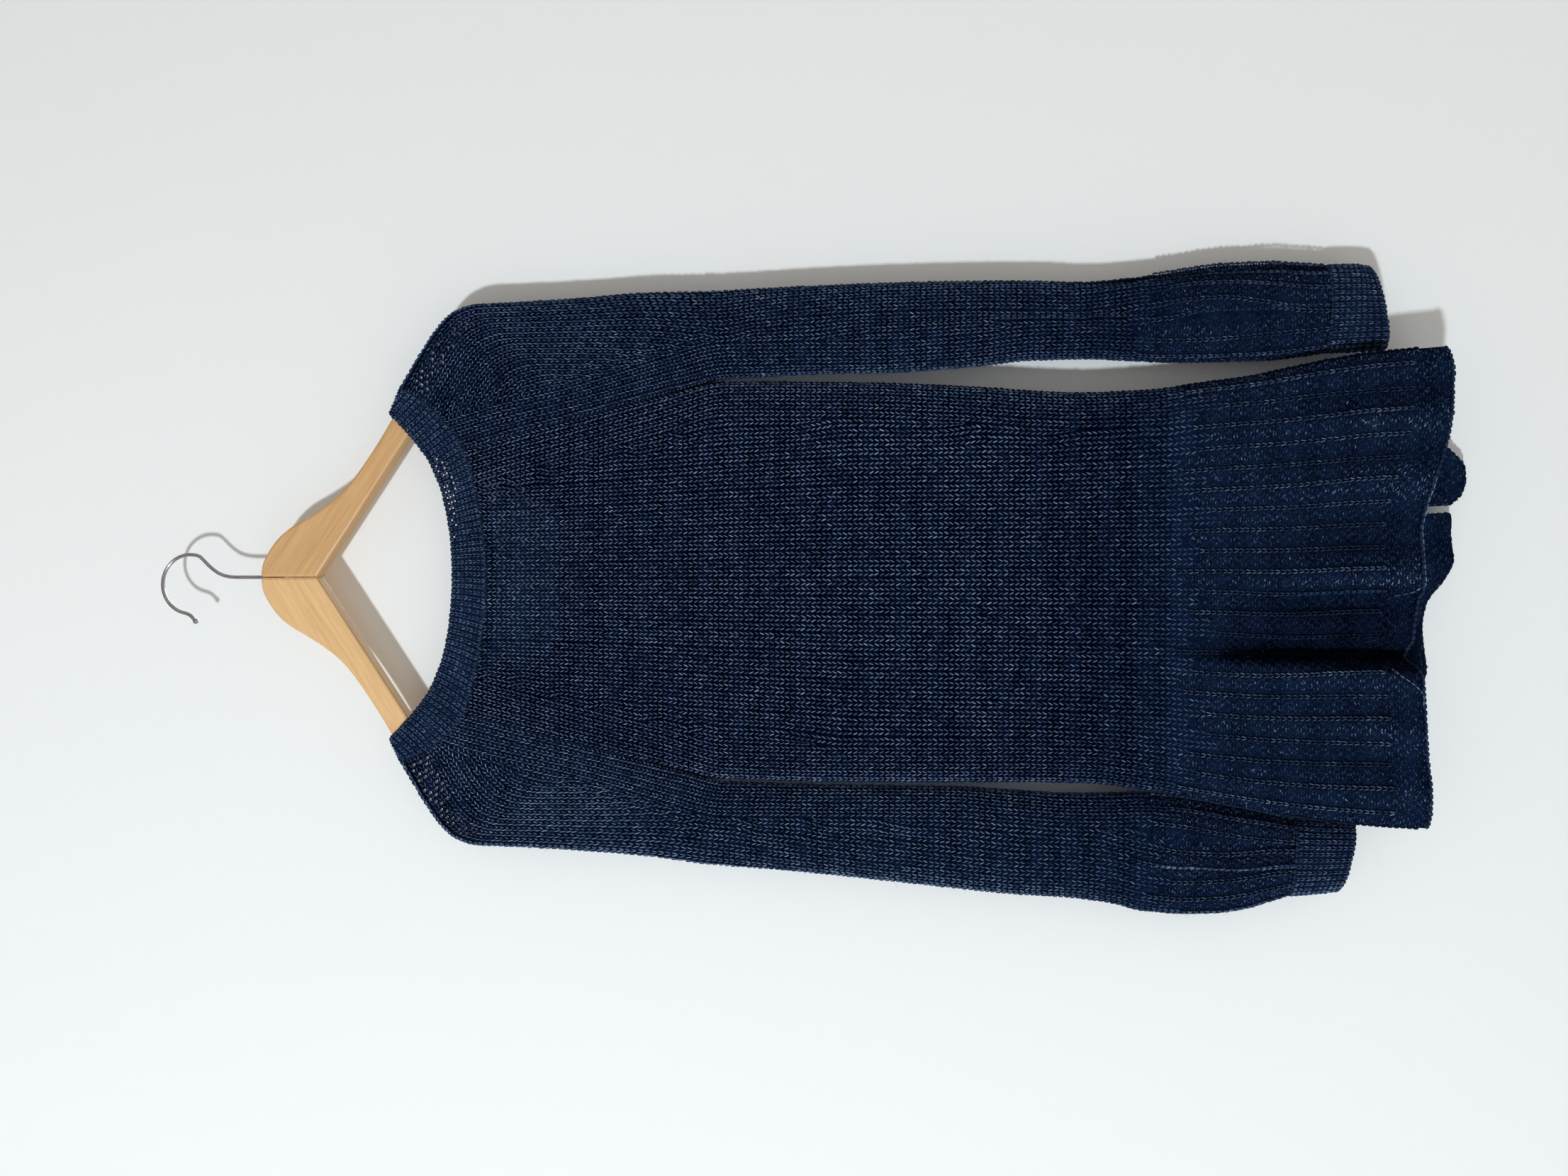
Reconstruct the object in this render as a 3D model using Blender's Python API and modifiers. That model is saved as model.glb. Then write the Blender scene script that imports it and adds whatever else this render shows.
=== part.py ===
"""Long-sleeved knitted cardigan hung, back outwards, on a flat wooden hanger.

Units below are millimetres and become metres when a mesh is made.
X runs to the right of someone facing the back of the garment, Y runs away
from them (towards the fronts), Z is up.  The origin is the point inside the
top of the hook that carries the weight.

The garment is a flattened, hollow form: a back panel, two fronts that meet
edge to edge, two raglan sleeves that go over the ends of the hanger, two
cuffs and a neckband.  Each is a bent wall of even thickness.  Neck, centre
front, hem and cuffs are open.
"""

import math
from collections import namedtuple

import bmesh
import bpy
import numpy as np

MM = 0.001
WALL = 2.4  # thickness of the knitted cloth
SEAM = 0.3  # half of the space left between two pieces that are sewn together

# ---------------------------------------------------------------- hanger
WOOD_THICK = 14.0
WOOD_X = 6.5  # plane of the mitre
WOOD_EASE = 2.2  # rounding of the wood's long edges
WIRE = 3.0  # diameter of the hook's wire
HOOK_R = 25.6  # centre line of the hook's bow
HOOK_X = 0.5
STEM_IN_WOOD = 18.0

# Upper edge of one arm: distance from the mitre, height.
ArmTop = namedtuple("ArmTop", "out z")
ARM_TOP = [
    ArmTop(0.2, -94.0),
    ArmTop(9.0, -95.0),
    ArmTop(18.0, -98.6),
    ArmTop(31.0, -107.7),
    ArmTop(41.6, -120.0),
    ArmTop(49.6, -134.8),
    ArmTop(58.8, -150.4),
    ArmTop(70.0, -165.6),
    ArmTop(84.3, -179.0),
    ArmTop(103.2, -193.0),
    ArmTop(122.7, -206.2),
    ArmTop(140.0, -216.6),
    ArmTop(165.0, -231.2),
    ArmTop(190.0, -246.2),
    ArmTop(202.5, -256.0),
    ArmTop(210.6, -265.2),
]
# Lower edge, from the end back to the point under the mitre.
ARM_LOW = [
    ArmTop(216.5, -275.0),
    ArmTop(216.0, -284.0),
    ArmTop(209.0, -287.6),
    ArmTop(196.0, -280.0),
    ArmTop(160.0, -255.0),
    ArmTop(121.0, -228.8),
    ArmTop(60.0, -186.6),
    ArmTop(0.2, -145.1),
]

# ---------------------------------------------------------------- garment
NECK_TOP = -277.0  # height of the seam's ends at the back raglans
NECK_FRONT_TOP = -306.0  # the same on the fronts
NECK_MID = -296.5  # lowest point of the back neck seam
V_POINT = -418.0  # lowest point of the front neck seam
UNDERARM = -497.0
RIB_START = -862.0  # the ribbed flounce begins here

# Silhouette of the body: raglan lines down to the underarm, then side seams.
Edge = namedtuple("Edge", "z left right")
EDGE = [
    Edge(-277, -107, 111),
    Edge(-320, -117.5, 123),
    Edge(-386, -133, 138.5),
    Edge(-445, -146, 153),
    Edge(-497, -157, 164),
    Edge(-570, -157.5, 162),
    Edge(-621, -156.5, 160),
    Edge(-695, -155, 155),
    Edge(-738, -153.8, 151),
    Edge(-780, -153.6, 148.5),
    Edge(-830, -158.3, 149.3),
    Edge(-862, -163, 153),
    Edge(-900, -169, 157),
    Edge(-946, -175, 165.5),
    Edge(-980, -177.6, 170.5),
    Edge(-1045, -179.4, 174.5),
]

# How the flattened tube of the body stands: the side seam's y, how far the
# back stands in front of it and the fronts behind it, how far in from the
# side the bend reaches, and how flat the side is (1 flat, 0 fully bent).
Stance = namedtuple("Stance", "z seam near far bend flat")
STANCE = [
    Stance(-205, 0, 9.3, 9.3, 12, 1.0),
    Stance(-300, 0, 9.6, 9.6, 12, 1.0),
    Stance(-386, 0, 10.8, 10.8, 14, 0.93),
    Stance(-445, 0, 11.8, 11.6, 16, 0.55),
    Stance(-497, 0, 13.0, 12.2, 18, 0.0),
    Stance(-621, -1, 15.0, 13.0, 24, 0.0),
    Stance(-767, -2, 16.0, 14.0, 28, 0.0),
    Stance(-830, -4, 17.0, 15.0, 28, 0.0),
    Stance(-862, -7, 17.0, 17.5, 26, 0.0),
    Stance(-914, -13, 17.5, 24.0, 24, 0.0),
    Stance(-978, -19, 17.5, 31.0, 22, 0.0),
    Stance(-1070, -24, 16.5, 36.0, 20, 0.0),
]

# Folds: x where a fold starts and at the hem, the height it starts at and
# how far down it takes to open fully, half its width, how far it goes back
# from the viewer (plus) or comes out (minus), and how steep its left side is
# against its right side.
Fold = namedtuple("Fold", "x_top x_hem z_top run half back skew")
BACK_FOLDS = [
    Fold(-50, -54.5, -838, 95, 10.5, 23.0, 1.9),
    Fold(-62, -68.0, -850, 130, 13.0, -4.0, 1.0),
    Fold(-22, -28.0, -880, 120, 24.0, 10.0, 1.0),
    Fold(-10, -11.5, -866, 90, 8.0, 8.5, 0.8),
    Fold(2, 4.0, -872, 110, 11.0, -7.5, 1.5),
    Fold(27, 33.0, -880, 110, 13.0, 6.5, 1.0),
    Fold(49, 52.0, -885, 110, 10.0, 3.4, 1.0),
    Fold(68, 72.0, -890, 110, 12.0, -3.2, 1.0),
    Fold(88, 96.0, -880, 110, 11.0, 4.6, 1.2),
    Fold(112, 119.0, -885, 120, 13.0, -3.4, 1.0),
    Fold(131, 141.0, -874, 120, 11.0, 6.0, 1.0),
    Fold(-84, -92.0, -886, 120, 12.0, 3.6, 1.0),
    Fold(-104, -112.0, -890, 120, 12.0, -3.4, 1.0),
    Fold(-124, -134.0, -880, 120, 12.0, 5.0, 1.0),
    Fold(-146, -157.0, -890, 120, 11.0, -2.6, 1.0),
]
FRONT_FOLDS = [
    Fold(-128, -141.0, -880, 110, 15.0, -7.0, 1.0),
    Fold(-92, -102.0, -868, 110, 15.0, 5.0, 1.1),
    Fold(-58, -66.0, -858, 110, 14.0, -8.0, 1.3),
    Fold(-22, -28.0, -880, 120, 16.0, 4.6, 1.0),
    Fold(8, 12.0, -872, 120, 15.0, -5.5, 0.8),
    Fold(34, 40.0, -890, 120, 13.0, 4.4, 1.0),
    Fold(72, 82.0, -870, 110, 15.0, 5.6, 1.0),
    Fold(102, 112.0, -862, 110, 13.0, -7.0, 1.2),
    Fold(128, 142.0, -880, 110, 14.0, 4.0, 1.0),
]
# Broad, shallow waves of the plain cloth above the flounce.
BACK_WAVES = [
    Fold(-70, -58.0, -330, 420, 34.0, 1.6, 1.0),
    Fold(-8, -30.0, -520, 330, 30.0, -1.4, 1.0),
    Fold(64, 70.0, -420, 380, 36.0, 1.8, 1.0),
    Fold(112, 118.0, -560, 300, 24.0, -1.6, 1.0),
    Fold(-118, -112.0, -540, 300, 24.0, -1.4, 1.0),
]
FRONT_WAVES = [
    Fold(-74, -80.0, -450, 380, 36.0, -2.0, 1.0),
    Fold(60, 78.0, -500, 360, 34.0, -2.4, 1.0),
    Fold(108, 110.0, -380, 380, 28.0, 1.8, 1.0),
]

# The hems: height at a place along the hem.
Hem = namedtuple("Hem", "x z")
BACK_HEM = [
    Hem(-180, -1019),
    Hem(-148, -1018),
    Hem(-115, -1015),
    Hem(-80, -1014),
    Hem(-40, -1012.5),
    Hem(-10, -1013.5),
    Hem(15, -1013),
    Hem(38, -1012),
    Hem(54, -1015),
    Hem(77, -1022),
    Hem(94, -1027),
    Hem(127, -1032),
    Hem(152, -1033),
    Hem(176, -1031),
]
LEFT_FRONT_HEM = [
    Hem(-180, -1019.5),
    Hem(-120, -1026),
    Hem(-60, -1030),
    Hem(-14, -1034),
    Hem(3, -1044),
    Hem(19, -1051),
    Hem(46, -1052),
    Hem(57, -1047),
]
RIGHT_FRONT_HEM = [
    Hem(55, -1043),
    Hem(62, -1054),
    Hem(73, -1062.5),
    Hem(85, -1062.5),
    Hem(94, -1057),
    Hem(106, -1046),
    Hem(140, -1037),
    Hem(176, -1031.5),
]
# The fronts' meeting line: place at a height.
Opening = namedtuple("Opening", "z x gap")
OPENING = [
    Opening(-380, 12.0, 1.0),
    Opening(-418, 14.0, 1.0),
    Opening(-600, 20.0, 1.4),
    Opening(-800, 32.0, 1.6),
    Opening(-900, 43.0, 2.0),
    Opening(-1000, 54.0, 2.4),
    Opening(-1070, 58.0, 3.0),
]
# Front neck seam, out from its lowest point.
FrontNeck = namedtuple("FrontNeck", "share z")
FRONT_NECK = [
    FrontNeck(0.0, -418),
    FrontNeck(0.30, -386),
    FrontNeck(0.58, -359),
    FrontNeck(0.84, -334),
    FrontNeck(1.0, -306),
]

# Raglan cap of a sleeve: share of the way down the raglan, and the point on
# the shoulder or outer edge that lies in line with it, out from the middle
# of the hanger, with how far that line bows down between the two.
Cap = namedtuple("Cap", "down out z bow bend")
CAP_MIDDLE = 8.0
CAP = [
    Cap(0.00, 156.0, -219.2, 7.0, 5.0),
    Cap(0.05, 170.0, -228.0, 6.0, 5.0),
    Cap(0.11, 185.0, -237.6, 5.0, 5.0),
    Cap(0.18, 199.0, -247.2, 4.0, 5.5),
    Cap(0.26, 210.8, -257.0, 3.0, 6.0),
    Cap(0.35, 219.4, -268.4, 2.0, 7.0),
    Cap(0.45, 224.2, -287.0, 1.0, 9.0),
    Cap(0.58, 224.6, -322.0, 0.0, 12.0),
    Cap(0.72, 226.0, -370.0, 0.0, 16.0),
    Cap(0.86, 228.6, -428.0, 0.0, 22.0),
]
# Tube of a sleeve below the underarm: outer and inner edge, middle and half
# of its depth, and how much lower the outer edge lies than the inner one.
Tube = namedtuple("Tube", "z outer inner mid deep tilt")
LEFT_TUBE = [
    Tube(-497, 226.6, 160.2, 0.0, 13.0, 8.0),
    Tube(-530, 228.0, 160.6, 0.6, 16.0, 4.0),
    Tube(-568, 230.4, 161.0, 1.0, 18.5, 0.0),
    Tube(-614, 233.8, 160.6, 1.5, 20.0, 0.0),
    Tube(-680, 238.8, 160.2, 2.0, 20.5, 0.0),
    Tube(-724, 242.0, 162.0, 2.5, 20.5, 0.0),
    Tube(-768, 243.2, 163.6, 3.0, 20.0, 0.0),
    Tube(-800, 246.6, 162.6, 3.5, 19.5, 0.0),
    Tube(-822, 251.6, 161.4, 4.0, 20.5, 0.0),
    Tube(-850, 253.2, 162.9, 4.0, 21.5, 0.0),
    Tube(-877, 251.6, 167.0, 4.0, 21.5, 0.0),
    Tube(-900, 247.4, 171.0, 4.0, 20.5, 1.0),
    Tube(-918, 241.6, 174.6, 4.0, 19.0, 3.0),
    Tube(-934, 236.4, 178.4, 4.0, 17.5, 5.0),
]
RIGHT_TUBE = [
    Tube(-497, 237.4, 167.6, 0.0, 13.0, 8.0),
    Tube(-530, 238.2, 168.6, 0.6, 16.0, 4.0),
    Tube(-568, 238.8, 169.6, 1.0, 18.5, 0.0),
    Tube(-621, 239.2, 169.4, 1.5, 20.0, 0.0),
    Tube(-695, 238.2, 172.6, 2.0, 20.5, 0.0),
    Tube(-739, 236.8, 176.6, 2.5, 20.0, 0.0),
    Tube(-780, 234.8, 176.8, 3.0, 19.5, 0.0),
    Tube(-812, 236.4, 174.6, 3.5, 19.5, 0.0),
    Tube(-840, 240.0, 172.6, 4.0, 20.5, 0.0),
    Tube(-884, 244.6, 171.6, 4.0, 21.5, 0.0),
    Tube(-917, 244.9, 172.0, 4.0, 21.5, 0.0),
    Tube(-940, 242.8, 174.0, 4.0, 20.0, 0.0),
    Tube(-957, 241.2, 176.2, 4.0, 18.5, 0.0),
]
# Cuffs: the same columns, from the seam to the open end.
LEFT_CUFF = [
    Tube(-936, 236.0, 178.8, 4.0, 17.2, 5.0),
    Tube(-950, 234.8, 179.4, 4.0, 16.6, 7.0),
    Tube(-978, 231.4, 180.4, 4.0, 16.6, 12.0),
]
RIGHT_CUFF = [
    Tube(-959, 241.0, 176.6, 4.0, 18.2, 0.0),
    Tube(-975, 240.8, 177.0, 4.0, 17.4, -2.0),
    Tube(-1001, 238.6, 177.6, 4.0, 17.4, 12.0),
]
# Creases of the sleeves, in the sleeve's own measures: place round the
# sleeve (0 inner edge of the back, 0.5 outer edge, 1 inner edge of the
# front), height they begin and end, half width round it, and depth inwards.
Crease = namedtuple("Crease", "place top low half inward")
LEFT_CREASES = [
    Crease(0.16, -800, -950, 0.040, 3.6),
    Crease(0.28, -812, -960, 0.035, -2.2),
    Crease(0.37, -806, -955, 0.035, 2.6),
    Crease(0.66, -800, -950, 0.045, 3.6),
    Crease(0.82, -806, -955, 0.040, 3.0),
    Crease(0.24, -470, -700, 0.070, 2.4),
    Crease(0.72, -520, -780, 0.070, 2.8),
]
RIGHT_CREASES = [
    Crease(0.27, -600, -880, 0.045, 4.4),
    Crease(0.14, -815, -975, 0.040, 3.4),
    Crease(0.34, -830, -970, 0.030, -2.6),
    Crease(0.415, -820, -975, 0.030, 4.2),
    Crease(0.64, -815, -975, 0.045, 3.6),
    Crease(0.80, -822, -975, 0.040, 3.2),
    Crease(0.75, -560, -800, 0.070, 3.0),
]
# Neckband: its free edge, out from the middle, for each station along the
# seam.  "part" says which piece the seam belongs to and "along" how far.
Band = namedtuple("Band", "part along out z")
BAND_MIDDLE = 7.0
BAND = [
    Band("front", 0.00, 1.5, -387.0),
    Band("front", 0.18, 22.0, -367.0),
    Band("front", 0.42, 48.0, -346.0),
    Band("front", 0.68, 73.0, -324.0),
    Band("front", 0.88, 91.0, -300.0),
    Band("front", 1.00, 101.0, -281.0),
    Band("cap_far", 0.30, 113.0, -255.0),
    Band("cap_far", 0.62, 124.0, -234.0),
    Band("cap_far", 0.84, 131.0, -220.5),
    Band("cap_far", 0.93, 134.6, -214.0),
    Band("cap_far", 0.976, 136.4, -211.4),
    Band("cap_far", 1.00, 137.0, -210.6),
    Band("cap_near", 0.976, 136.0, -211.6),
    Band("cap_near", 0.93, 133.4, -214.6),
    Band("cap_near", 0.84, 127.0, -221.0),
    Band("cap_near", 0.62, 114.0, -233.0),
    Band("cap_near", 0.30, 101.0, -243.5),
    Band("back", 0.00, 89.0, -250.5),
    Band("back", 0.14, 68.0, -258.8),
    Band("back", 0.32, 38.0, -265.0),
    Band("back", 0.50, 0.0, -267.4),
]


# ---------------------------------------------------------------- helpers
def read(rows, column, key, at):
    """A column of a table as a smooth curve without overshoot."""
    rows = sorted(rows, key=lambda row: getattr(row, key))
    x = np.array([getattr(row, key) for row in rows], float)
    y = np.array([getattr(row, column) for row in rows], float)
    at = np.clip(np.asarray(at, float), x[0], x[-1])
    step = np.diff(x)
    rise = np.diff(y) / step
    slope = np.empty_like(y)
    slope[0], slope[-1] = rise[0], rise[-1]
    for i in range(1, len(y) - 1):
        if rise[i - 1] * rise[i] <= 0:
            slope[i] = 0.0
        else:
            a, b = 2 * step[i] + step[i - 1], step[i] + 2 * step[i - 1]
            slope[i] = (a + b) / (a / rise[i - 1] + b / rise[i])
    i = np.clip(np.searchsorted(x, at) - 1, 0, len(step) - 1)
    t = (at - x[i]) / step[i]
    return (
        y[i] * (1 + 2 * t) * (1 - t) ** 2
        + slope[i] * step[i] * t * (1 - t) ** 2
        + y[i + 1] * t * t * (3 - 2 * t)
        + slope[i + 1] * step[i] * t * t * (t - 1)
    )


def bend(distance, reach):
    """Quarter of a round: 0 at the edge, 1 from the given reach inwards."""
    t = np.clip(np.asarray(distance, float) / reach, 0.0, 1.0)
    return np.sqrt(np.maximum(1 - (1 - t) ** 2, 0.0))


def ease(t):
    t = np.clip(t, 0.0, 1.0)
    return t * t * (3 - 2 * t)


def folds(table, x, z):
    """Sum of the folds at a place: plus goes away from the viewer."""
    total = np.zeros(np.broadcast(x, z).shape)
    for row in table:
        down = ease((row.z_top - z) / row.run)
        middle = row.x_top + (row.x_hem - row.x_top) * np.clip(
            (row.z_top - z) / (abs(row.z_top) * 0.0 + 180.0), 0, 1
        )
        off = (x - middle) / row.half
        off = np.where(off < 0, off * row.skew, off)
        total = total + row.back * down * np.exp(-(off**2))
    return total


def edge_x(side, z):
    return read(EDGE, side, "z", z)


def layer_y(face, x, z):
    """Middle of the cloth's thickness for the back (near) or fronts (far)."""
    left, right = edge_x("left", z), edge_x("right", z)
    inside = np.minimum(x - left, right - x)
    flat = read(STANCE, "flat", "z", z)
    full = flat + (1 - flat) * bend(inside, read(STANCE, "bend", "z", z))
    seam = read(STANCE, "seam", "z", z)
    calm = ease(inside / 22.0)
    if face == "near":
        wave = folds(BACK_FOLDS, x, z) + folds(BACK_WAVES, x, z)
        return seam - read(STANCE, "near", "z", z) * full + wave * calm
    wave = folds(FRONT_FOLDS, x, z) + folds(FRONT_WAVES, x, z)
    return seam + read(STANCE, "far", "z", z) * full + wave * calm


def side_space(z):
    """Space between body and sleeve: a butt seam above, two walls below."""
    flat = read(STANCE, "flat", "z", z)
    return SEAM + 1.35 * np.clip((1 - flat) / 0.75, 0.0, 1.0)


def back_neck_z(x):
    left, right = edge_x("left", NECK_TOP), edge_x("right", NECK_TOP)
    share = (x - (left + right) / 2) / ((right - left) / 2)
    return NECK_MID + (NECK_TOP - NECK_MID) * np.clip(share, -1, 1) ** 2


def spread(count, first, last, steps=3):
    """Shares of the way across: close together in both bent edges."""
    turn = [1 - math.cos(math.pi / 2 * i / steps) for i in range(steps + 1)]
    inner = count - 2 * steps
    middle = [first + (1 - first - last) * i / inner for i in range(1, inner)]
    return np.array(
        [first * t for t in turn] + middle + [1 - last * t for t in turn[::-1]]
    )


def rows_down(top, low, heights):
    """Shares of the way down for heights that matter."""
    share = [(top - h) / (top - low) for h in heights if low + 6 < h < top - 6]
    return np.array([0.0] + share + [1.0])


def grid_mesh(name, points, material, wall=WALL):
    """An open sheet through a grid of points, given its thickness."""
    rows, columns = points.shape[:2]
    built = bmesh.new()
    verts = [[built.verts.new(tuple(p * MM)) for p in row] for row in points]
    for i in range(rows - 1):
        for j in range(columns - 1):
            built.faces.new(
                (verts[i][j], verts[i + 1][j], verts[i + 1][j + 1], verts[i][j + 1])
            )
    mesh = bpy.data.meshes.new(name)
    built.to_mesh(mesh)
    built.free()
    mesh.shade_smooth()
    return add_object(name, mesh, material, wall)


def add_object(name, mesh, material, wall=None):
    obj = bpy.data.objects.new(name, mesh)
    mesh.materials.append(material)
    PARTS.objects.link(obj)
    if wall:
        thick = obj.modifiers.new("wall", "SOLIDIFY")
        thick.thickness = wall * MM
        thick.offset = 0.0
    return obj


def new_material(name, colour, roughness, metallic=0.0):
    material = bpy.data.materials.new(name)
    material.use_nodes = True
    shader = material.node_tree.nodes["Principled BSDF"]
    shader.inputs["Base Color"].default_value = (*colour, 1.0)
    shader.inputs["Roughness"].default_value = roughness
    shader.inputs["Metallic"].default_value = metallic
    return material


# ---------------------------------------------------------------- panels
HEIGHTS = [
    -300, -340, -386, -430, -465, -497, -545, -610, -680, -745, -795, -835,
    -860, -880, -900, -922, -944, -966, -988, -1006,
]  # fmt: skip


def panel(name, face, left_of, right_of, top_of, hem, count, material, bends):
    """A panel between two edges that are functions of the height."""
    low = min(row.z for row in hem)
    shares_down = rows_down(NECK_MID if face == "near" else -340, low, HEIGHTS)
    across = spread(count, *bends)
    points = np.zeros((len(shares_down), len(across), 3))
    for i, down in enumerate(shares_down):
        for j, share in enumerate(across):
            # The height depends on x and x on the height: settle both.
            z = -600.0
            for _ in range(12):
                left, right = left_of(z), right_of(z)
                x = left + (right - left) * share
                top, bottom = top_of(x), read(hem, "z", "x", x)
                z = top + (bottom - top) * down
            points[i, j] = x, layer_y(face, x, z), z
    # The two side edges stop short of the seam line, so panels never touch.
    shift = SEAM if face == "far" else -SEAM
    for j, edge in ((0, left_of), (-1, right_of)):
        if edge in (body_left, body_right):
            flat = read(STANCE, "flat", "z", points[:, j, 2])
            points[:, j, 1] += shift * (1 - flat)
    return grid_mesh(name, points, material)


def body_left(z):
    return edge_x("left", z) + side_space(z)


def body_right(z):
    return edge_x("right", z) - side_space(z)


def opening_left(z):
    return read(OPENING, "x", "z", z) - read(OPENING, "gap", "z", z)


def opening_right(z):
    return read(OPENING, "x", "z", z) + read(OPENING, "gap", "z", z)


def front_neck_left(x):
    start = opening_left(V_POINT)
    end = edge_x("left", NECK_FRONT_TOP)
    return read(FRONT_NECK, "z", "share", np.clip((start - x) / (start - end), 0, 1))


def front_neck_right(x):
    start = opening_right(V_POINT)
    end = edge_x("right", NECK_FRONT_TOP)
    return read(FRONT_NECK, "z", "share", np.clip((x - start) / (end - start), 0, 1))


# ---------------------------------------------------------------- sleeves
Row = namedtuple("Row", "near far out depth_near depth_far mid reach flat bow inner")


def sleeve_rows(side):
    """Every section of a sleeve, from the neckband to the balloon's end."""
    sign = -1 if side == "left" else 1
    tube = LEFT_TUBE if side == "left" else RIGHT_TUBE
    rows = []
    for cap in CAP:
        near_z = NECK_TOP + (UNDERARM - NECK_TOP) * cap.down
        far_z = NECK_FRONT_TOP + (UNDERARM - NECK_FRONT_TOP) * cap.down
        near_x, far_x = edge_x(side, near_z), edge_x(side, far_z)
        outer = CAP_MIDDLE + sign * (cap.out + (1.2 if side == "right" else 0.2))
        rows.append(
            Row(
                (near_x + sign * side_space(near_z), near_z),
                (far_x + sign * side_space(far_z), far_z),
                (outer, cap.z),
                float(read(STANCE, "near", "z", near_z)),
                float(read(STANCE, "far", "z", far_z)),
                0.0,
                cap.bend,
                (
                    float(read(STANCE, "flat", "z", near_z)),
                    float(read(STANCE, "flat", "z", far_z)),
                ),
                cap.bow,
                float(read(STANCE, "bend", "z", near_z)),
            )
        )
    for row in tube:
        width = row.outer - row.inner
        rows.append(tube_row(sign, row, width))
    return rows


def tube_row(sign, row, width):
    place = (sign * row.inner, row.z)
    return Row(
        place,
        place,
        (sign * row.outer, row.z + row.tilt),
        row.deep,
        row.deep,
        row.mid,
        0.44 * width,
        (0.0, 0.0),
        0.0,
        0.44 * width,
    )


def section(row, steps=3, flat_steps=3):
    """Points round one sleeve section, from the near inner edge round the
    outer edge to the far inner edge, and the place of each round it."""
    half = []
    for face in (0, 1):
        start = np.array(row.near if face == 0 else row.far)
        end = np.array(row.out)
        length = float(np.linalg.norm(end - start))
        reach = min(row.reach, 0.46 * length)
        inner = min(row.inner, 0.46 * length)
        turn = [1 - math.cos(math.pi / 2 * i / steps) for i in range(steps + 1)]
        inward = [inner * t for t in turn]
        outward = [length - reach * t for t in turn[::-1]]
        between = [
            inward[-1] + (outward[0] - inward[-1]) * i / flat_steps
            for i in range(1, flat_steps)
        ]
        along = np.array(inward + between + outward)
        side = np.array([end[1] - start[1], start[0] - end[0]]) / length
        if side[1] > 0:
            side = -side
        share = along / length
        flat = row.flat[face]
        full = (flat + (1 - flat) * bend(along, inner)) * bend(length - along, reach)
        depth = row.depth_near if face == 0 else row.depth_far
        base = start + np.outer(share, end - start)
        base = base + np.outer(row.bow * np.sin(math.pi * share), side)
        y = row.mid + (-depth if face == 0 else depth) * full
        half.append(np.column_stack([base[:, 0], y, base[:, 1]]))
    return np.vstack([half[0], half[1][::-1][1:]])


def pinch(points, place, creases, middle):
    """Creases and ridges pressed into a sleeve along its length."""
    z = points[:, 2]
    depth = np.zeros(len(points))
    for row in creases:
        down = np.clip((row.top - z) / (row.top - row.low), 0, 1)
        along = np.sin(math.pi * down) ** 0.7
        depth += row.inward * along * np.exp(-(((place - row.place) / row.half) ** 2))
    inward = middle - points
    inward[:, 2] = 0
    inward /= np.maximum(np.linalg.norm(inward, axis=1)[:, None], 1e-6)
    return points + inward * depth[:, None]


def open_seam(points, sign, gap):
    """Keeps the two edges that meet at a tube's seam a little apart."""
    points = points.copy()
    points[0, 1] -= gap
    points[-1, 1] += gap
    return points


def sleeve(side, rows, creases, name, material, fine=2):
    sign = -1 if side == "left" else 1
    rings = []
    for row in rows:
        ring = section(row)
        place = np.linspace(0, 1, len(ring))
        middle = np.array([(row.near[0] + row.out[0]) / 2, row.mid, row.near[1]])
        ring = pinch(ring, place, creases, middle)
        flat = max(row.flat)
        rings.append(open_seam(ring, sign, 2 * SEAM * (1 - flat)))
    rings = np.array(rings)
    if side == "left":
        rings = rings[:, ::-1]
    return grid_mesh(name, rings, material)


# ---------------------------------------------------------------- neckband
def seam_point(side, part, along):
    """A point of the neck seam, on the garment's own pieces."""
    sign = -1 if side == "left" else 1
    if part == "back":
        left, right = edge_x("left", NECK_TOP), edge_x("right", NECK_TOP)
        share = along if side == "left" else 1 - along
        x = left + (right - left) * share
        z = float(back_neck_z(x))
        return np.array([x, float(layer_y("near", x, z)), z])
    if part == "front":
        neck = front_neck_left if side == "left" else front_neck_right
        start = opening_left(V_POINT) if side == "left" else opening_right(V_POINT)
        x = start + (edge_x(side, NECK_FRONT_TOP) - start) * along
        z = float(neck(x))
        return np.array([x, float(layer_y("far", x, z)), z])
    row = sleeve_rows(side)[0]
    face = 0 if part == "cap_near" else 1
    start, end = np.array(row.near if face == 0 else row.far), np.array(row.out)
    length = float(np.linalg.norm(end - start))
    normal = np.array([end[1] - start[1], start[0] - end[0]]) / length
    if normal[1] > 0:
        normal = -normal
    base = start + along * (end - start) + row.bow * math.sin(math.pi * along) * normal
    depth = row.depth_near if face == 0 else row.depth_far
    y = depth * float(bend(length * (1 - along), row.reach))
    return np.array([base[0], -y if face == 0 else y, base[1]])


def neckband(material):
    """One strip all round the neck, from the V up, over and round the back."""
    sections = []
    for side in ("left", "right"):
        sign = -1 if side == "left" else 1
        half = []
        for row in BAND:
            seam = seam_point(side, row.part, row.along)
            shift = 7.0 * ease((-330 - row.z) / 60.0)
            free = np.array([BAND_MIDDLE + shift + sign * row.out, 0.0, row.z])
            free[1] = seam[1] * (0.97 if abs(seam[1]) > 1 else 1.0)
            way = (free - seam) / np.linalg.norm(free - seam)
            start = seam + way * 2 * SEAM
            half.append([start, (start + free) / 2 + [0, 0, 0], free])
        sections.append(half if side == "left" else half[::-1][1:])
    return grid_mesh("neckband", np.array(sections[0] + sections[1]), material)


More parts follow.
